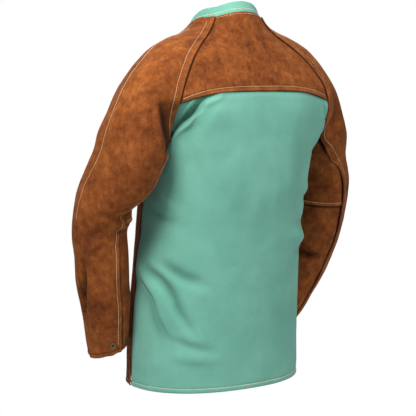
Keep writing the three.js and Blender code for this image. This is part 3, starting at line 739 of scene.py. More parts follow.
class FoldedSheet(SewnSheet):
    """A sheet with folds along lines that are given in millimetres."""

    def near(self, points):
        """How far every point lies from a line, how far to the left of it as seen from outside, the
        way to the left, and a share that fades out towards the line's ends."""
        line = redraw(np.array(points) * MM, (False, False), LINE_STEPS * len(points))
        lengths = travelled(line)
        far = np.full(self.x.shape[:2], np.inf)
        side, share = np.zeros_like(far), np.zeros_like(far)
        left = np.zeros_like(self.x)
        for k in range(len(line) - 1):
            way = line[k + 1] - line[k]
            f = np.clip(((self.x - line[k]) @ way) / (way @ way), 0, 1)
            offset = self.x - (line[k] + f[..., None] * way)
            here = np.linalg.norm(offset, axis=2)
            closer = here < far
            across = np.cross(self.n, way / np.linalg.norm(way))
            far = np.where(closer, here, far)
            side = np.where(closer, (offset * across).sum(axis=2), side)
            left = np.where(closer[..., None], across, left)
            share = np.where(closer, (lengths[k] + f * np.linalg.norm(way)) / lengths[-1], share)
        ends = np.sqrt(np.sin(np.pi * np.clip(share, LINE_END_SHARE, 1 - LINE_END_SHARE)))
        return far, side, left, ends

    def fold(self, width, height, points):
        """A soft fold along a line: a ridge where the height is above 0, a crease where it is below."""
        far, _, _, ends = self.near(points)
        form = bell(far, width * MM) * ends
        self.push += height * MM * form
        # painted shade in a crease, darker for a deeper crease
        self.darken(form**2 * np.clip(-height / CREASE_FULL, 0, CREASE_DARKEST))

    def lap(self, width, over, under, soft, points, shade=0):
        """A fold that hangs over itself: the cloth on the left of the line stands up and leans over the
        sunken cloth on the right, which gets painted shade, darkest at the distance that shade gives."""
        far, side, left, ends = self.near(points)
        signed = np.where(side > 0, far, -far)
        w, s = width * MM, soft * MM
        top = over * np.exp(-((np.maximum(signed, 0) / w) ** LAP_ROUND))
        below = -under * bell(np.minimum(signed, 0), LAP_HOLLOW * w)
        self.push += (below + (top - below) * step(signed, -s, s)) * ends * MM
        # painted shadow on the sunken cloth below the lap
        deep = max(LAP_SHADE_AT * s, shade * MM)
        dark = bell(signed + deep, LAP_SHADE_SPREAD * deep + LAP_SHADE_SOFT) * ends
        self.darken(np.clip((over + under) / LAP_FULL, 0, LAP_DARKEST) * dark)
        nose = bell(signed - s, LAP_NOSE * s) * ends
        self.shift -= left * (LAP_LEAN * (over + under) * MM * nose)[..., None]

    def sink(self, depth, sideways, top, bottom, left_edge, right_edge, spread=0):
        """Sinks a pocket between two lines, as seen from behind and from the left, and paints shade into
        it, darkest by its left bank and with a dark line by its right bank. Everything near moves the same
        way, so that lapped panels stay in order."""
        across, height = self.x @ POCKET_RIGHT / MM, self.x[..., 2] / MM
        left = pocket_edge(height, left_edge)
        right = pocket_edge(height, right_edge) + spread
        left_bank, right_bank = [
            step(across, edge + bank[0], edge + bank[1])
            for edge, bank in ((left, POCKET_LEFT_BANK), (right, POCKET_RIGHT_BANK))
        ]
        inside = left_bank * (1 - right_bank)
        inside = inside * (self.x[..., 1] > POCKET_BEHIND) * step(height, *POCKET_FOOT)
        low = 1 - step(height, bottom, top)
        self.shift -= POCKET_OUT * (depth * MM * inside * low)[..., None]
        self.shift -= POCKET_RIGHT * (sideways * MM * inside * low)[..., None]
        # painted shadow in the pocket, darkest by its left bank and lower down, and a painted dark line
        # inside its right bank
        shadow = bell(across - left, POCKET_SHADE_WIDTH + POCKET_SHADE_WIDENS * low)
        shadow = shadow * np.minimum(1, POCKET_SHADE_RISE * low)
        rim = POCKET_RIM_SHADE * low * bell(right - POCKET_RIM_AT - across, POCKET_RIM_WIDTH)
        self.darken(inside * np.maximum(np.minimum(1, POCKET_SHADE * shadow), rim))

    def ease(self, radius, move, points):
        """Moves everything near a line by the same vector."""
        far, _, _, ends = self.near(points)
        self.shift += np.array(move) * MM * (bell(far, radius * MM) * ends)[..., None]

    def fold_all(self, part, where=1.0, spread=0):
        """Every fold of one part of the jacket, then a slight blur so that no fold shows steps."""
        for fold in FOLDS[part]:
            self.fold(*fold)
        for lap in LAPS[part]:
            self.lap(*lap)
        self.push *= where
        self.shift *= np.broadcast_to(where, self.push.shape)[..., None]
        for pocket in POCKETS[part]:
            self.sink(*pocket, spread)
        for ease in EASES[part]:
            self.ease(*ease)
        self.push = blurred(self.push, 2)
        self.shift = blurred(self.shift, 3)
        self.seam = blurred(self.seam, 2)


print("pockets sink along", POCKET_OUT)

# %% [markdown]
# ## From a grid to an object
# The finished grid becomes a mesh of quads, with the flat cut as its UV map. A Solidify modifier gives it
# its thickness inwards, so the outer face stays where the frame has it. The panel's own solid is then
# hidden, and the size of its cut is printed.

# %% Panels
PANEL_CREASE = math.radians(50)


class Panel(FoldedSheet):
    """One cut piece of leather or cotton, from its grid to its object."""

    def make_mesh(self, material):
        """The settled grid as a mesh, with the cut as its UV map and the marks as attributes."""
        rows, columns = self.x.shape[:2]
        index = np.arange(rows * columns).reshape(rows, columns)
        quads = np.stack([index[:-1, :-1], index[1:, :-1], index[1:, 1:], index[:-1, 1:]], axis=2)
        quads = quads.reshape(-1, 4)
        if self.turn < 0:
            quads = quads[:, ::-1]
        mesh = bpy.data.meshes.new(self.name)
        mesh.from_pydata(self.x.reshape(-1, 3).tolist(), [], quads.tolist())
        corners = np.zeros(len(mesh.loops), np.int32)
        mesh.loops.foreach_get("vertex_index", corners)
        cut = self.cut.reshape(-1, 2)
        mesh.uv_layers.new(name="cut").data.foreach_set("uv", cut[corners].ravel())
        for key, values in (("seam", self.seam), ("edge", self.edge)):
            data = mesh.attributes.new(key, "FLOAT", "POINT").data
            data.foreach_set("value", values.astype(np.float32).ravel())
        mesh.materials.append(material)
        return mesh

    def build(self, material, slot, held, rests_on):
        """The finished sheet as an object of its own."""
        flat = self.flat_size()
        self.settle()
        piece = bpy.data.objects.new(self.name, self.make_mesh(material))
        scene.collection.objects.link(piece)
        bpy.ops.object.select_all(action="DESELECT")
        piece.select_set(True)
        bpy.context.view_layer.objects.active = piece
        wall = piece.modifiers.new("wall", "SOLIDIFY")
        wall.thickness = self.thickness
        wall.offset = -1
        wall.use_quality_normals = True
        bpy.ops.object.modifier_apply(modifier=wall.name)
        bpy.ops.object.shade_smooth_by_angle(angle=PANEL_CREASE)
        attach(piece, "root")
        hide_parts(self.node)
        print(self.name, "faces", len(piece.data.polygons), "cut", [round(v, 3) for v in flat])


print("panels can be built")

# %% [markdown]
# ## Stitches
# Every seam is held by thick thread in a lockstitch. A dashed stripe in the material would do from far
# away, but it would lie flat, so one stitch is modelled and then set along each seam, a little slanted
# and a little uneven, as a machine leaves them in leather.

# %% One stitch
STITCH_PITCH = 4.4 * MM
STITCH_LENGTH = 4.1 * MM
THREAD_WIDTH = 1.5 * MM
THREAD_HEIGHT = THREAD_WIDTH * 0.8
STITCH_SAG = 0.35 * MM

bpy.ops.object.select_all(action="DESELECT")
bpy.ops.mesh.primitive_uv_sphere_add(segments=6, ring_count=6, radius=0.5)
stitch = bpy.context.object
bpy.ops.object.mode_set(mode="EDIT")
bpy.ops.mesh.select_all(action="SELECT")
bpy.ops.transform.rotate(value=math.pi / 2, orient_axis="Y", center_override=(0, 0, 0))
stitch_size = (STITCH_LENGTH, THREAD_WIDTH, THREAD_HEIGHT)
bpy.ops.transform.resize(value=stitch_size, center_override=(0, 0, 0))
bpy.ops.object.mode_set(mode="OBJECT")
stitch_points = np.array([v.co for v in stitch.data.vertices])
stitch_points[:, 2] -= STITCH_SAG * (2 * stitch_points[:, 0] / STITCH_LENGTH) ** 2
stitch_faces = [tuple(f.vertices) for f in stitch.data.polygons]
bpy.data.objects.remove(stitch)
print("faces in a stitch:", len(stitch_faces))

# %% [markdown]
# A seam's stitches are joined in one mesh. Each stitch copies the model's points, turned to the seam's
# direction and to the panel's normal there. Soft noise makes its place and its slant a little uneven.

# %% Sewing
STITCH_SLANT = math.radians(5)
STITCH_LIFT = 0.12 * MM
STITCH_PROBE = 0.5 * MM
UNEVEN = 0.08
WOBBLE_STEP = (0.73, 0.01)


def sew(name, lines, thread):
    """Sets stitches along lines of points and normals, as one piece."""
    points, faces = [], []
    for line, normals in lines:
        far = travelled(line)
        for k in range(int(far[-1] / STITCH_PITCH)):
            wobble = noise.noise(Vector((k * WOBBLE_STEP[0], len(faces) * WOBBLE_STEP[1], 0)))
            at = (k + 0.5 + UNEVEN * wobble) * STITCH_PITCH
            here, ahead = [at_distance(line, far, s) for s in (at - STITCH_PROBE, at + STITCH_PROBE)]
            up = Vector(at_distance(normals, far, at)).normalized()
            way = Vector(ahead - here).normalized()
            turn = Matrix.Rotation(STITCH_SLANT * (1 + wobble), 3, up)
            way = turn @ (way - up * way.dot(up)).normalized()
            axes = np.array([way, up.cross(way), up])
            base = len(points)
            points.extend(stitch_points @ axes + (here + ahead) / 2 + np.array(up) * STITCH_LIFT)
            faces.extend(tuple(base + v for v in face) for face in stitch_faces)
    mesh = bpy.data.meshes.new(name)
    mesh.from_pydata([list(p) for p in points], [], faces)
    mesh.polygons.foreach_set("use_smooth", [True] * len(faces))
    mesh.materials.append(thread)
    piece = bpy.data.objects.new(name, mesh)
    scene.collection.objects.link(piece)
    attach(piece, "root")
    print(name, "stitches", len(faces) // len(stitch_faces))


print("stitch pitch:", STITCH_PITCH / MM, "mm")

# %% [markdown]
# ## Where the folds lie
# A worn jacket folds in the same places every time: at the armpits, in the crook of the elbow and where
# the back swings over the hip. Each line crosses the jacket in millimetres. A soft fold has a width, a
# height and its line. A lap has a width, the height above and the depth below its line, the softness of
# its edge, its line, and where needed the distance of its shadow.

# %% Folds
FOLDS = {
    "back": [
        (4.5, 9, [(148, 112, -161), (160, 105, -176), (168, 101, -187), (174, 92, -205)]),
        (4.5, -8, [(133, 119, -160), (148, 113, -176), (158, 108, -186), (166, 97, -207)]),
        (6, 8, [(124, 124, -163), (134, 120, -172), (142, 116, -183), (149, 109, -197), (160, 93, -218)]),
        (6, 6, [(96, 132, -150), (108, 128, -158), (122, 124, -166), (135, 117, -178)]),
        (5, -6, [(104, 130, -150), (118, 126, -159), (130, 120, -167)]),
        (12, -9, [(181, 26, -482), (167, 54, -498), (144, 72, -514), (117, 89, -526)]),
        (10, -14, [(192, -13, -492), (190, 5, -504), (182, 37, -521), (168, 58, -550), (160, 66, -576),
                   (148, 75, -602), (135, 81, -623)]),
        (9, -5, [(182, -5, -374), (176, 32, -394), (165, 62, -404)]),
        (10, 4, [(178, 20, -352), (168, 60, -372)]),
        (26, 13, [(-184, 96, -188), (-178, 82, -222), (-168, 80, -245), (-160, 78, -270)]),
        (5, -5, [(-168, 109, -172), (-174, 104, -184), (-179, 98, -200), (-181, 90, -216)]),
        (12, -2.5, [(-100, 122, -236), (-104, 118, -300), (-110, 107, -360)]),
        (14, 2.5, [(-70, 134, -230), (-70, 128, -300), (-72, 118, -370)]),
        (10, 3.5, [(-113, 106, -345), (-132, 94, -346), (-148, 78, -347), (-162, 57, -348)]),
        (9, -4, [(-110, 104, -366), (-130, 92, -367), (-147, 77, -368), (-161, 55, -369)]),
        (9, -5, [(-103, 100, -416), (-120, 87, -418), (-142, 68, -420), (-160, 42, -422)]),
        (11, 7, [(-95, 101, -442), (-118, 87, -446), (-140, 69, -450), (-158, 44, -452)]),
        (9, -5, [(-105, 92, -476), (-125, 79, -478), (-143, 62, -480), (-158, 42, -482)]),
        (9, -5, [(165, 48, -636), (132, 82, -652), (92, 96, -660)]),
        (10, 3.5, [(170, 40, -668), (130, 84, -676), (80, 100, -682)]),
    ],
    "left": [
        (8, 3.5, [(214, 96, -156), (237, 88, -169), (256, 84, -184), (276, 76, -206)]),
        (9, 3.5, [(198, 98, -139), (219, 89, -135), (241, 78, -143), (264, 62, -160)]),
        (8, -3, [(206, 97, -148), (230, 88, -152), (254, 74, -166)]),
        (7, -13, [(315, -36, -476), (309, -47, -516), (303, -58, -552), (292, -76, -588),
                  (287, -84, -610)]),
        (9, 5, [(304, -24, -478), (297, -38, -520), (290, -48, -562)]),
        (8, 4, [(246, 34, -374), (262, 36, -381), (278, 32, -386)]),
        (5, -9, [(236, 12, -388), (245, 16, -389), (261, 23, -392), (278, 23, -394)]),
        (8, 3, [(238, 2, -405), (258, 17, -406), (274, 19, -406)]),
        (5, -7, [(228, -14, -424), (240, 0, -423), (256, 10, -421), (274, 13, -418)]),
        (10, -2, [(326, -28, -424), (312, -8, -426), (296, 6, -424)]),
        (12, 2.5, [(322, -22, -446), (296, 4, -450), (262, 10, -446)]),
    ],
    "right": [
        (9, -5, [(-211, 97, -172), (-208, 99, -195), (-209, 96, -225), (-217, 84, -264)]),
        (9, 3, [(-192, 99, -180), (-192, 97, -210), (-198, 88, -240)]),
        (10, 3, [(-230, 90, -180), (-230, 90, -220), (-238, 76, -262)]),
        (8, -3, [(-198, 50, -306), (-206, 56, -304), (-216, 66, -294), (-233, 72, -290)]),
        (8, 3, [(-202, 30, -326), (-216, 46, -322), (-238, 54, -318)]),
        (8, -9, [(-206, 8, -361), (-222, 32, -356), (-244, 46, -351)]),
        (7, -20, [(-208, -30, -490), (-214, -27, -495), (-219, -23, -499), (-228, -16, -505),
                  (-239, -10, -509), (-252, -6, -513)]),
        (9, 6, [(-214, -22, -476), (-228, -8, -484), (-246, 0, -490)]),
        (9, 5, [(-214, -28, -521), (-235, -15, -526), (-258, -9, -525)]),
    ],
}
LAPS = {
    "back": [
        (16, 5, 4, 2, [(110, 128, -151), (118, 125, -157), (127, 122, -165), (135, 120, -178),
                       (145, 114, -191), (160, 99, -208), (176, 87, -228)]),
        (15, 8, 5, 6, [(192, -27, -506), (191, -21, -517), (190, -3, -530), (187, 20, -550),
                       (180, 32, -589), (168, 44, -624), (164, 49, -644)], 15),
    ],
    "left": [
        (16, 6, 1, 2.2, [(206, 97, -258), (209, 99, -249), (212, 101, -237), (219, 102, -216),
                         (221, 100, -199), (222, 97, -180), (224, 92, -160)]),
        (14, 6, 13, 2, [(296, 30, -380), (279, 39, -376), (270, 45, -370), (262, 52, -365),
                        (253, 57, -359), (244, 58, -350)]),
    ],
    "right": [],
}
print("folds:", sum(map(len, FOLDS.values())), "laps:", sum(map(len, LAPS.values())))

# %% [markdown]
# At the left armpit the cloth sinks into a pocket. It has a depth, a move to the side, the heights where
# it begins and where it is deepest, and a line for each of its banks. At the right armpit the sleeve is
# eased outwards, and a little higher up inwards. An ease has a radius, a move and a line.

# %% Pockets and eases
PIT_TOP, PIT_BOTTOM = -150, -206
PIT_DEPTH, PIT_SIDEWAYS = 28, 8
PIT_LEFT = [(207, 97, -275), (209, 99, -249), (212, 101, -237), (219, 102, -216), (221, 100, -199),
            (222, 97, -180), (223, 94, -164)]
PIT_RIGHT = [(110, 128, -152), (118, 125, -157), (127, 122, -165), (135, 120, -178), (145, 114, -191),
             (160, 99, -208), (176, 87, -226), (190, 80, -246), (202, 76, -258)]
PIT_BEHIND = [(100, 120, -100), (100, 120, -300)]
POCKETS = {
    "back": [(PIT_DEPTH, PIT_SIDEWAYS, PIT_TOP, PIT_BOTTOM, PIT_LEFT, PIT_RIGHT)],
    "left": [(PIT_DEPTH, PIT_SIDEWAYS, PIT_TOP, PIT_BOTTOM, PIT_LEFT, PIT_BEHIND)],
    "right": [],
}
EASES = {
    "back": [],
    "left": [],
    "right": [
        (20, (-12, 9, 0), [(-188, 80, -250), (-195, 73, -266), (-204, 70, -282), (-218, 68, -297)]),
        (18, (6, -4, 0), [(-190, 92, -232), (-191, 96, -215), (-193, 100, -198)]),
    ],
}
print("pockets:", sum(map(len, POCKETS.values())), "eases:", sum(map(len, EASES.values())))

# %% [markdown]
# ## The back
# The cotton back hangs from the yoke. It crumples where it pulls towards the left underarm, gathers a
# little by the right armhole, waves along its right side and swings in long diagonal folds towards the
# left of the hem. A simulation would drape it in its own way; these folds have known places, so each is
# drawn along its line. They fade out at the seams, where the cloth is sewn down.

# %% Cotton back
COTTON = 1.0 * MM
SEAM_LAP = 10 * MM
HEM_STITCH = 9.5 * MM
LINE_END = 12 * MM
ARMHOLE_SPREAD = 60
ARMHOLE_FOOT, ARMHOLE_HEAD = (-280, -250), (-215, -185)

back = Panel("cotton_back", "back_panel", COTTON, across_x, 3.4, ALL_EDGES, rounds=2, margin=2)
back.tuck("top", SEAM_LAP, depth=0.6, reach=10 * MM)
for side in ("left", "right"):
    back.tuck(side, SEAM_LAP, depth=0.6, reach=8 * MM)
free = step(np.minimum(back.away["left"], back.away["right"]), 6 * MM, 15 * MM)
free = free * step(back.away["top"], 6 * MM, 13 * MM)
sewn = ARMHOLE_SPREAD * (1 - step(back.away["right"], 11 * MM, 24 * MM))
back.fold_all("back", free, sewn)
level = back.x[..., 2] / MM
back.reach("right", 9, step(level, *ARMHOLE_FOOT) * (1 - step(level, *ARMHOLE_HEAD)))
back.wrinkle(size=90, height=1.6, seed=1, stretch=(1, 1, 1.6))
back.wrinkle(size=34, height=0.8, seed=2)
back.wrinkle(size=15, height=0.22, seed=7, stretch=(2, 2, 1))
back.roll("bottom", HEM_STITCH, puff=0.7)
back.build(cotton, "cotton", "hung", ["back_yoke", "front_left", "front_right"])
seam_lines = {"hem": [back.line("bottom", HEM_STITCH, LINE_END, LINE_END)]}

# %% [markdown]
# ## The yoke
# The yoke is one wide piece of leather over the shoulder blades. Its lower edge laps over the cotton and
# is stitched a finger's width up; its neck edge is stitched close to the collar. Two short bars of
# stitches beside each other hold the neck edge on the left.

# %% Leather yoke
YOKE_STITCH = 11 * MM
NECK_STITCH = 5 * MM
BAR_PLACES = (30 * MM, 35 * MM)
BAR_LENGTH = 13 * MM

yoke = Panel("leather_yoke", "back_yoke", LEATHER, across_x, 3.8, ALL_EDGES, margin=2)
for side in ("left", "right"):
    yoke.tuck(side, SEAM_LAP, depth=1.2, reach=10 * MM)
for pocket in POCKETS["back"]:
    yoke.sink(*pocket)
yoke.roll("bottom", YOKE_STITCH, puff=1.0)
yoke.roll("top", NECK_STITCH, puff=0.5)
yoke.wrinkle(size=70, height=1.2, seed=3)
yoke.wrinkle(size=24, height=0.35, seed=4)
yoke.build(leather, "leather", "hung", ["collar", "sleeve_back_left", "sleeve_back_right"])
seam_lines["yoke"] = [
    yoke.line("bottom", YOKE_STITCH, LINE_END, LINE_END),
    yoke.line("top", NECK_STITCH, LINE_END, LINE_END),
]
for x in BAR_PLACES:
    column = np.abs(yoke.x[0, :, 0] - x).argmin()
    bar = yoke.away["top"][:, column] < BAR_LENGTH
    seam_lines["yoke"].append((yoke.x[bar, column], yoke.n[bar, column]))

# %% [markdown]
# ## The fronts
# Two leather fronts close the jacket, the left one over the right one. They lap over the cotton at the
# side seams, and the sleeves lap over them above the underarm. Each edge has its own kind of seam, so
# the same few pushes follow one another for both fronts.

# %% Leather fronts
SIDE_STITCH = 8 * MM
CLOSING_STITCH = 9 * MM
UNDERARM = (205 * MM, 235 * MM)
UNDER_SLEEVE_TOP, UNDER_SLEEVE_FOOT = (60, 130), (225, 262)


def from_side(point):
    """Columns count from the side seam to the closing edge."""
    return -abs(point[0])


for word, change in (("left", 1), ("right", -1)):
    front = Panel(f"leather_front_{word}", f"front_{word}", LEATHER, from_side, 5, ALL_EDGES)
    below = step(front.away["top"], *UNDERARM)
    front.roll("left", SIDE_STITCH, puff=0.7, where=below)
    front.tuck("left", 2 * MM, depth=0.8, reach=10 * MM, where=1 - below)
    level = front.away["top"] / MM
    front.reach("left", 12, step(level, *UNDER_SLEEVE_TOP) * (1 - step(level, *UNDER_SLEEVE_FOOT)))
    front.roll("right", CLOSING_STITCH, puff=0.7)
    front.roll("bottom", HEM_STITCH, puff=0.7)
    front.roll("top", NECK_STITCH, puff=0.5)
    front.wrinkle(size=80, height=2.0, seed=5 + change, stretch=(1, 1, 2))
    front.wrinkle(size=26, height=0.4, seed=8 + change)
    front.build(leather, "leather", "hung", [f"sleeve_front_{word}", "collar"])
    seam_lines[f"front_{word}"] = [
        front.line("left", SIDE_STITCH, 240 * MM, 14 * MM),
        front.line("right", CLOSING_STITCH, 8 * MM, 14 * MM),
        front.line("bottom", HEM_STITCH, 10 * MM, 10 * MM),
        front.line("top", NECK_STITCH, 10 * MM, 10 * MM),
    ]

# %% [markdown]
# ## The sleeves
# Each raglan sleeve has an outer back, an outer front and an under piece with a seam at the elbow. The
# back piece lies over everything it meets, so its edges are rolled and those below them are tucked. Folds
# gather at the armpit and in the crook of the elbow.

# %% [markdown]
# The outer back comes first. Its raglan stitching stands well in from the seam, and below the elbow it
# comes closer to the edge. The overarm seam is stitched down to the elbow and plain on the forearm.

# %% Outer backs
RAGLAN_PLACES = [0, 240, 290, 340, 385, 420, 470]
RAGLAN_INSETS = [15, 15, 12, 19, 19, 12, 10]
OVERARM_STITCH = 4.5 * MM
CUFF_STITCH = 9 * MM
SHOULDER = (10 * MM, 70 * MM)
ELBOW = (330 * MM, 430 * MM)
NECK_SHARE = 0.35
FOREARM_FLATTER = 0.7
FOREARM_PLAIN = 300 * MM


def from_middle(point):
    """Columns count from the middle of the jacket outwards."""
    return abs(point[0])


def raglan_inset(panel):
    """Distance of the stitching from the seam, from the neck down to the cuff."""
    return np.interp(panel.away["top"][:, 0] / MM, RAGLAN_PLACES, RAGLAN_INSETS) * MM


def make_outer_back(word, seed):
    """The outer back of a sleeve and its two lines of stitching."""
    name, node = f"leather_sleeve_back_{word}", f"sleeve_back_{word}"
    panel = Panel(name, node, LEATHER, from_middle, 3.2, ALL_EDGES)
    panel.fold_all(word)
    inset = raglan_inset(panel)
    raglan = NECK_SHARE + (1 - NECK_SHARE) * step(panel.away["top"], *SHOULDER)
    overarm = 1 - FOREARM_FLATTER * step(panel.away["top"], *ELBOW)
    panel.roll("left", inset[:, None], puff=1.2, where=raglan)
    panel.roll("right", OVERARM_STITCH, puff=1.0, where=overarm)
    panel.roll("bottom", CUFF_STITCH, puff=0.6)
    panel.wrinkle(size=60, height=1.8, seed=seed, stretch=(1, 1, 1.3))
    panel.wrinkle(size=22, height=0.45, seed=seed + 1)
    panel.build(leather, "leather", "hung", ["back_yoke", "collar"])
    return [
        panel.line("left", inset, 8 * MM, 14 * MM),
        panel.line("right", OVERARM_STITCH, 30 * MM, FOREARM_PLAIN),
    ]


print("raglan stitching in mm:", RAGLAN_INSETS)

# %% [markdown]
# The outer front meets the back along the overarm and goes under it there. At the chest it laps over the
# front of the jacket with the same raglan stitching.

# %% Outer fronts
def make_outer_front(word, seed):
    """The outer front of a sleeve and its line of stitching."""
    name, node = f"leather_sleeve_front_{word}", f"sleeve_front_{word}"
    panel = Panel(name, node, LEATHER, from_middle, 4.8, ALL_EDGES)
    panel.fold_all(word)
    panel.tuck("right", SEAM_LAP, depth=1.0, reach=8 * MM)
    panel.roll("left", raglan_inset(panel)[:, None], puff=1.0)
    panel.roll("bottom", CUFF_STITCH, puff=0.6)
    panel.wrinkle(size=60, height=2.0, seed=seed + 2)
    panel.wrinkle(size=22, height=0.45, seed=seed + 3)
    panel.build(leather, "leather", "hung", [f"front_{word}", "collar"])
    return [panel.line("left", raglan_inset(panel), 8 * MM, 14 * MM)]


print("cuff stitching:", CUFF_STITCH / MM, "mm up")

# %% [markdown]
# The under-sleeve closes the tube from below. Its upper piece laps over the lower one at the elbow.

# %% Under-sleeves
CROSS_STITCH = 8 * MM
UNDER_EDGES = "left right bottom"


def from_back(point):
    """Columns count from the back to the front."""
    return -point[1]


def make_under_sleeve(word, seed):
    """Both pieces of an under-sleeve and the stitching of the seam between them."""
    upper, lower = [
        Panel(f"leather_{place}", f"sleeve_{place}", LEATHER, from_back, 3.8, UNDER_EDGES)
        for place in (f"under_upper_{word}", f"under_lower_{word}")
    ]
    for panel in (upper, lower):
        panel.fold_all(word)
        panel.tuck("left", SEAM_LAP, depth=0.8, reach=8 * MM)
        panel.tuck("right", SEAM_LAP, depth=0.8, reach=8 * MM)
        panel.wrinkle(size=46, height=1.6, seed=seed + 4)
        panel.wrinkle(size=20, height=0.45, seed=seed + 5)
    upper.roll("bottom", CROSS_STITCH, puff=0.8)
    lower.tuck("top", SEAM_LAP, depth=0.6, reach=8 * MM)
    lower.roll("bottom", CUFF_STITCH, puff=0.6)
    for panel in (upper, lower):
        panel.build(leather, "leather", "hung", [f"sleeve_back_{word}", f"sleeve_front_{word}"])
    return [upper.line("bottom", CROSS_STITCH, LINE_END, LINE_END)]


for word, seed in (("left", 20), ("right", 30)):
    seam_lines[f"sleeve_{word}"] = (
        make_outer_back(word, seed) + make_outer_front(word, seed) + make_under_sleeve(word, seed)
    )

# %% [markdown]
# ## The collar
# The collar is a plain stand of doubled cotton with one row of stitching near its foot. The two cloths
# could be two sheets, but only their outside shows, so one thick sheet does.

# %% Cotton collar
COLLAR_CLOTH = 2.4 * MM
COLLAR_STITCH = 15 * MM
COLLAR_FOLD = 30 * MM

collar = Panel("cotton_collar", "collar", COLLAR_CLOTH, across_x, 4, "top bottom")
collar.wrinkle(size=40, height=0.9, seed=40)
collar.roll("top", COLLAR_FOLD, puff=0.5)
collar.build(cotton, "cotton", "stretched", ["back_yoke"])
seam_lines["collar"] = [collar.line("bottom", COLLAR_STITCH, 6 * MM, 6 * MM)]

# %% [markdown]
# ## All the thread
# With the panels in place, each group of seams gets its stitches, cream on the cotton and tan on the
# leather.

# %% Stitch every seam
for name, lines in seam_lines.items():
    sew(f"stitches_{name}", lines, cream_thread if name in ("hem", "collar") else tan_thread)

# %% [markdown]
# ## Snaps
# A snap's cap is a pressed brass ring with a hollow in the middle. One is modelled from a short cylinder
# by insets and extrusions, softened with a bevel, and copied to each place where the frame has one.

# %% One snap cap
CAP_RADIUS = 6.4 * MM
CAP_FOOT = 1.2 * MM
CAP_STEPS = [(0.9, 0.75), (1.6, 0.0), (0.9, -1.1), (1.0, 0.0), (0.5, 0.35)]
CAP_SOFTNESS = 0.25 * MM
RUBBED_FROM, RUBBED_OVER = 1.0, 0.8
FACING_UP = 0.9

bpy.ops.object.select_all(action="DESELECT")
foot_middle = (0, 0, CAP_FOOT / 2)
bpy.ops.mesh.primitive_cylinder_add(vertices=28, radius=CAP_RADIUS, depth=CAP_FOOT, location=foot_middle)
cap = bpy.context.object
bpy.ops.object.mode_set(mode="EDIT")
bpy.ops.mesh.select_mode(type="FACE")
bpy.ops.mesh.select_all(action="DESELECT")
editing = bmesh.from_edit_mesh(cap.data)
for face in editing.faces:
    face.select = face.normal.z > FACING_UP
bmesh.update_edit_mesh(cap.data)
for inset, rise in CAP_STEPS:
    bpy.ops.mesh.inset(thickness=inset * MM)
    bpy.ops.transform.translate(value=(0, 0, rise * MM))
bpy.ops.object.mode_set(mode="OBJECT")
soft = cap.modifiers.new("soft", "BEVEL")
soft.width = CAP_SOFTNESS
soft.segments = 2
soft.limit_method = "ANGLE"
bpy.ops.object.modifier_apply(modifier=soft.name)
rub = cap.data.attributes.new("edge", "FLOAT", "POINT")
for spot, vert in zip(rub.data, cap.data.vertices):
    spot.value = max(0, min(1, (vert.co.z / MM - RUBBED_FROM) / RUBBED_OVER))
print("faces in a cap:", len(cap.data.polygons))

# %% [markdown]
# The frame's own cap gives the place: the foot is its widest ring, and the cap looks away from the cloth.

# %% Setting the snaps
SNAP_CREASE = math.radians(40)
WIDEST_SHARE = 0.9


def seat_of(node):
    """The middle of a cap's foot and the direction that it faces."""
    points = np.array([v.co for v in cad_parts[node].data.vertices])
    middle = points.mean(axis=0)
    axis = np.linalg.svd(points - middle)[2][2]
    heights = (points - middle) @ axis
    spread = np.linalg.norm(points - middle - np.outer(heights, axis), axis=1)
    wide = heights[spread > WIDEST_SHARE * spread.max()].mean()
    axis = axis if wide < 0 else -axis
    foot = ((points - middle) @ axis).min()
    return Vector(middle + axis * foot), Vector(axis)


snap_nodes = sorted(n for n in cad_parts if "snap" in n or "stud" in n)
for node in snap_nodes:
    foot, axis = seat_of(node)
    piece = bpy.data.objects.new(f"brass_{node}", cap.data.copy())
    scene.collection.objects.link(piece)
    turn = axis.to_track_quat("Z", "Y").to_matrix().to_4x4()
    piece.data.transform(Matrix.Translation(foot) @ turn)
    piece.data.materials.append(brass)
    bpy.ops.object.select_all(action="DESELECT")
    piece.select_set(True)
    bpy.context.view_layer.objects.active = piece
    bpy.ops.object.shade_smooth_by_angle(angle=SNAP_CREASE)
    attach(piece, "root")
    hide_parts(node)
bpy.data.objects.remove(cap)
print("snaps set:", len(snap_nodes))

# %% [markdown]
# ## The floor
# A pale round floor lies well below the hem. It throws a little light up under the sleeves and isn't part
# of the jacket.

# %% Floor
FLOOR_Z = -1.45
FLOOR_RADIUS = 1.5
FLOOR_SHADE = (0.9, 0.9, 0.9, 1)

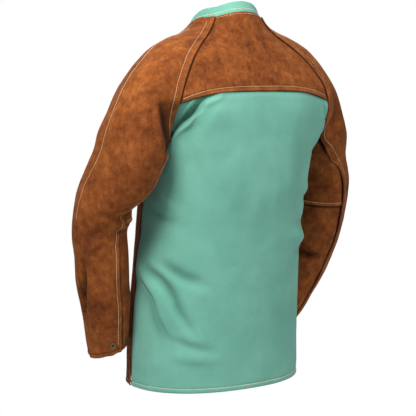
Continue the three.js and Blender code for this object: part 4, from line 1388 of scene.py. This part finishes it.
bpy.ops.object.select_all(action="DESELECT")
floor_place = (0, 0, FLOOR_Z)
bpy.ops.mesh.primitive_circle_add(vertices=96, radius=FLOOR_RADIUS, fill_type="NGON", location=floor_place)
floor = bpy.context.object
floor.name = "floor"
pale, pale_shader, _ = finish("pale_floor", 0.9)
pale_shader.inputs["Base Color"].default_value = FLOOR_SHADE
floor.data.materials.append(pale)
print("floor at", FLOOR_Z)

# %% [markdown]
# ## The light
# Light comes from a bright room all round, with one soft lamp high on the left of the viewpoint, a weaker
# one on the right and one for the front. The camera alone sees the room as white, so that the outline is
# clear.

# %% Light
ROOM_SHADES = [(0.0, (0.17, 0.18, 0.20)), (0.5, (0.27, 0.29, 0.33)), (1.0, (0.38, 0.40, 0.45))]
LAMP_TARGET = Vector((0, 0, -0.10))
LAMPS = [
    {"name": "key", "azimuth": 118, "elevation": 38, "away": 1.8, "size": 0.6, "watts": 41},
    {"name": "fill", "azimuth": 190, "elevation": 34, "away": 1.9, "size": 1.0, "watts": 20},
    {"name": "front", "azimuth": 336, "elevation": 34, "away": 2.2, "size": 1.0, "watts": 40},
]

world = bpy.data.worlds.new("room")
scene.world = world
world.use_nodes = True
room = Tone(world.node_tree)
sky = room.node("ShaderNodeTexCoord", None, None, "Generated")
rise = sky.node("ShaderNodeSeparateXYZ", None, {"Vector": sky}, "Z")
shade = (rise * 0.5 + 0.5).ramp(ROOM_SHADES)
lighting = room.node("ShaderNodeBackground", None, {"Color": shade})
backdrop = room.node("ShaderNodeBackground", None, {"Color": (1, 1, 1, 1)})
seen = room.node("ShaderNodeLightPath", None, None, "Is Camera Ray")
both = room.node("ShaderNodeMixShader", None, {0: seen, 1: lighting, 2: backdrop})
world.node_tree.links.new(both.socket, world.node_tree.nodes["World Output"].inputs["Surface"])
for lamp in LAMPS:
    way = direction(lamp["azimuth"], lamp["elevation"])
    bpy.ops.object.light_add(type="AREA", location=LAMP_TARGET + way * lamp["away"])
    light = bpy.context.object
    light.name = lamp["name"]
    light.rotation_euler = (-way).to_track_quat("-Z", "Y").to_euler()
    light.data.size = lamp["size"]
    light.data.energy = lamp["watts"]
scene.view_settings.view_transform = "Standard"
print("lamps:", len(LAMPS))
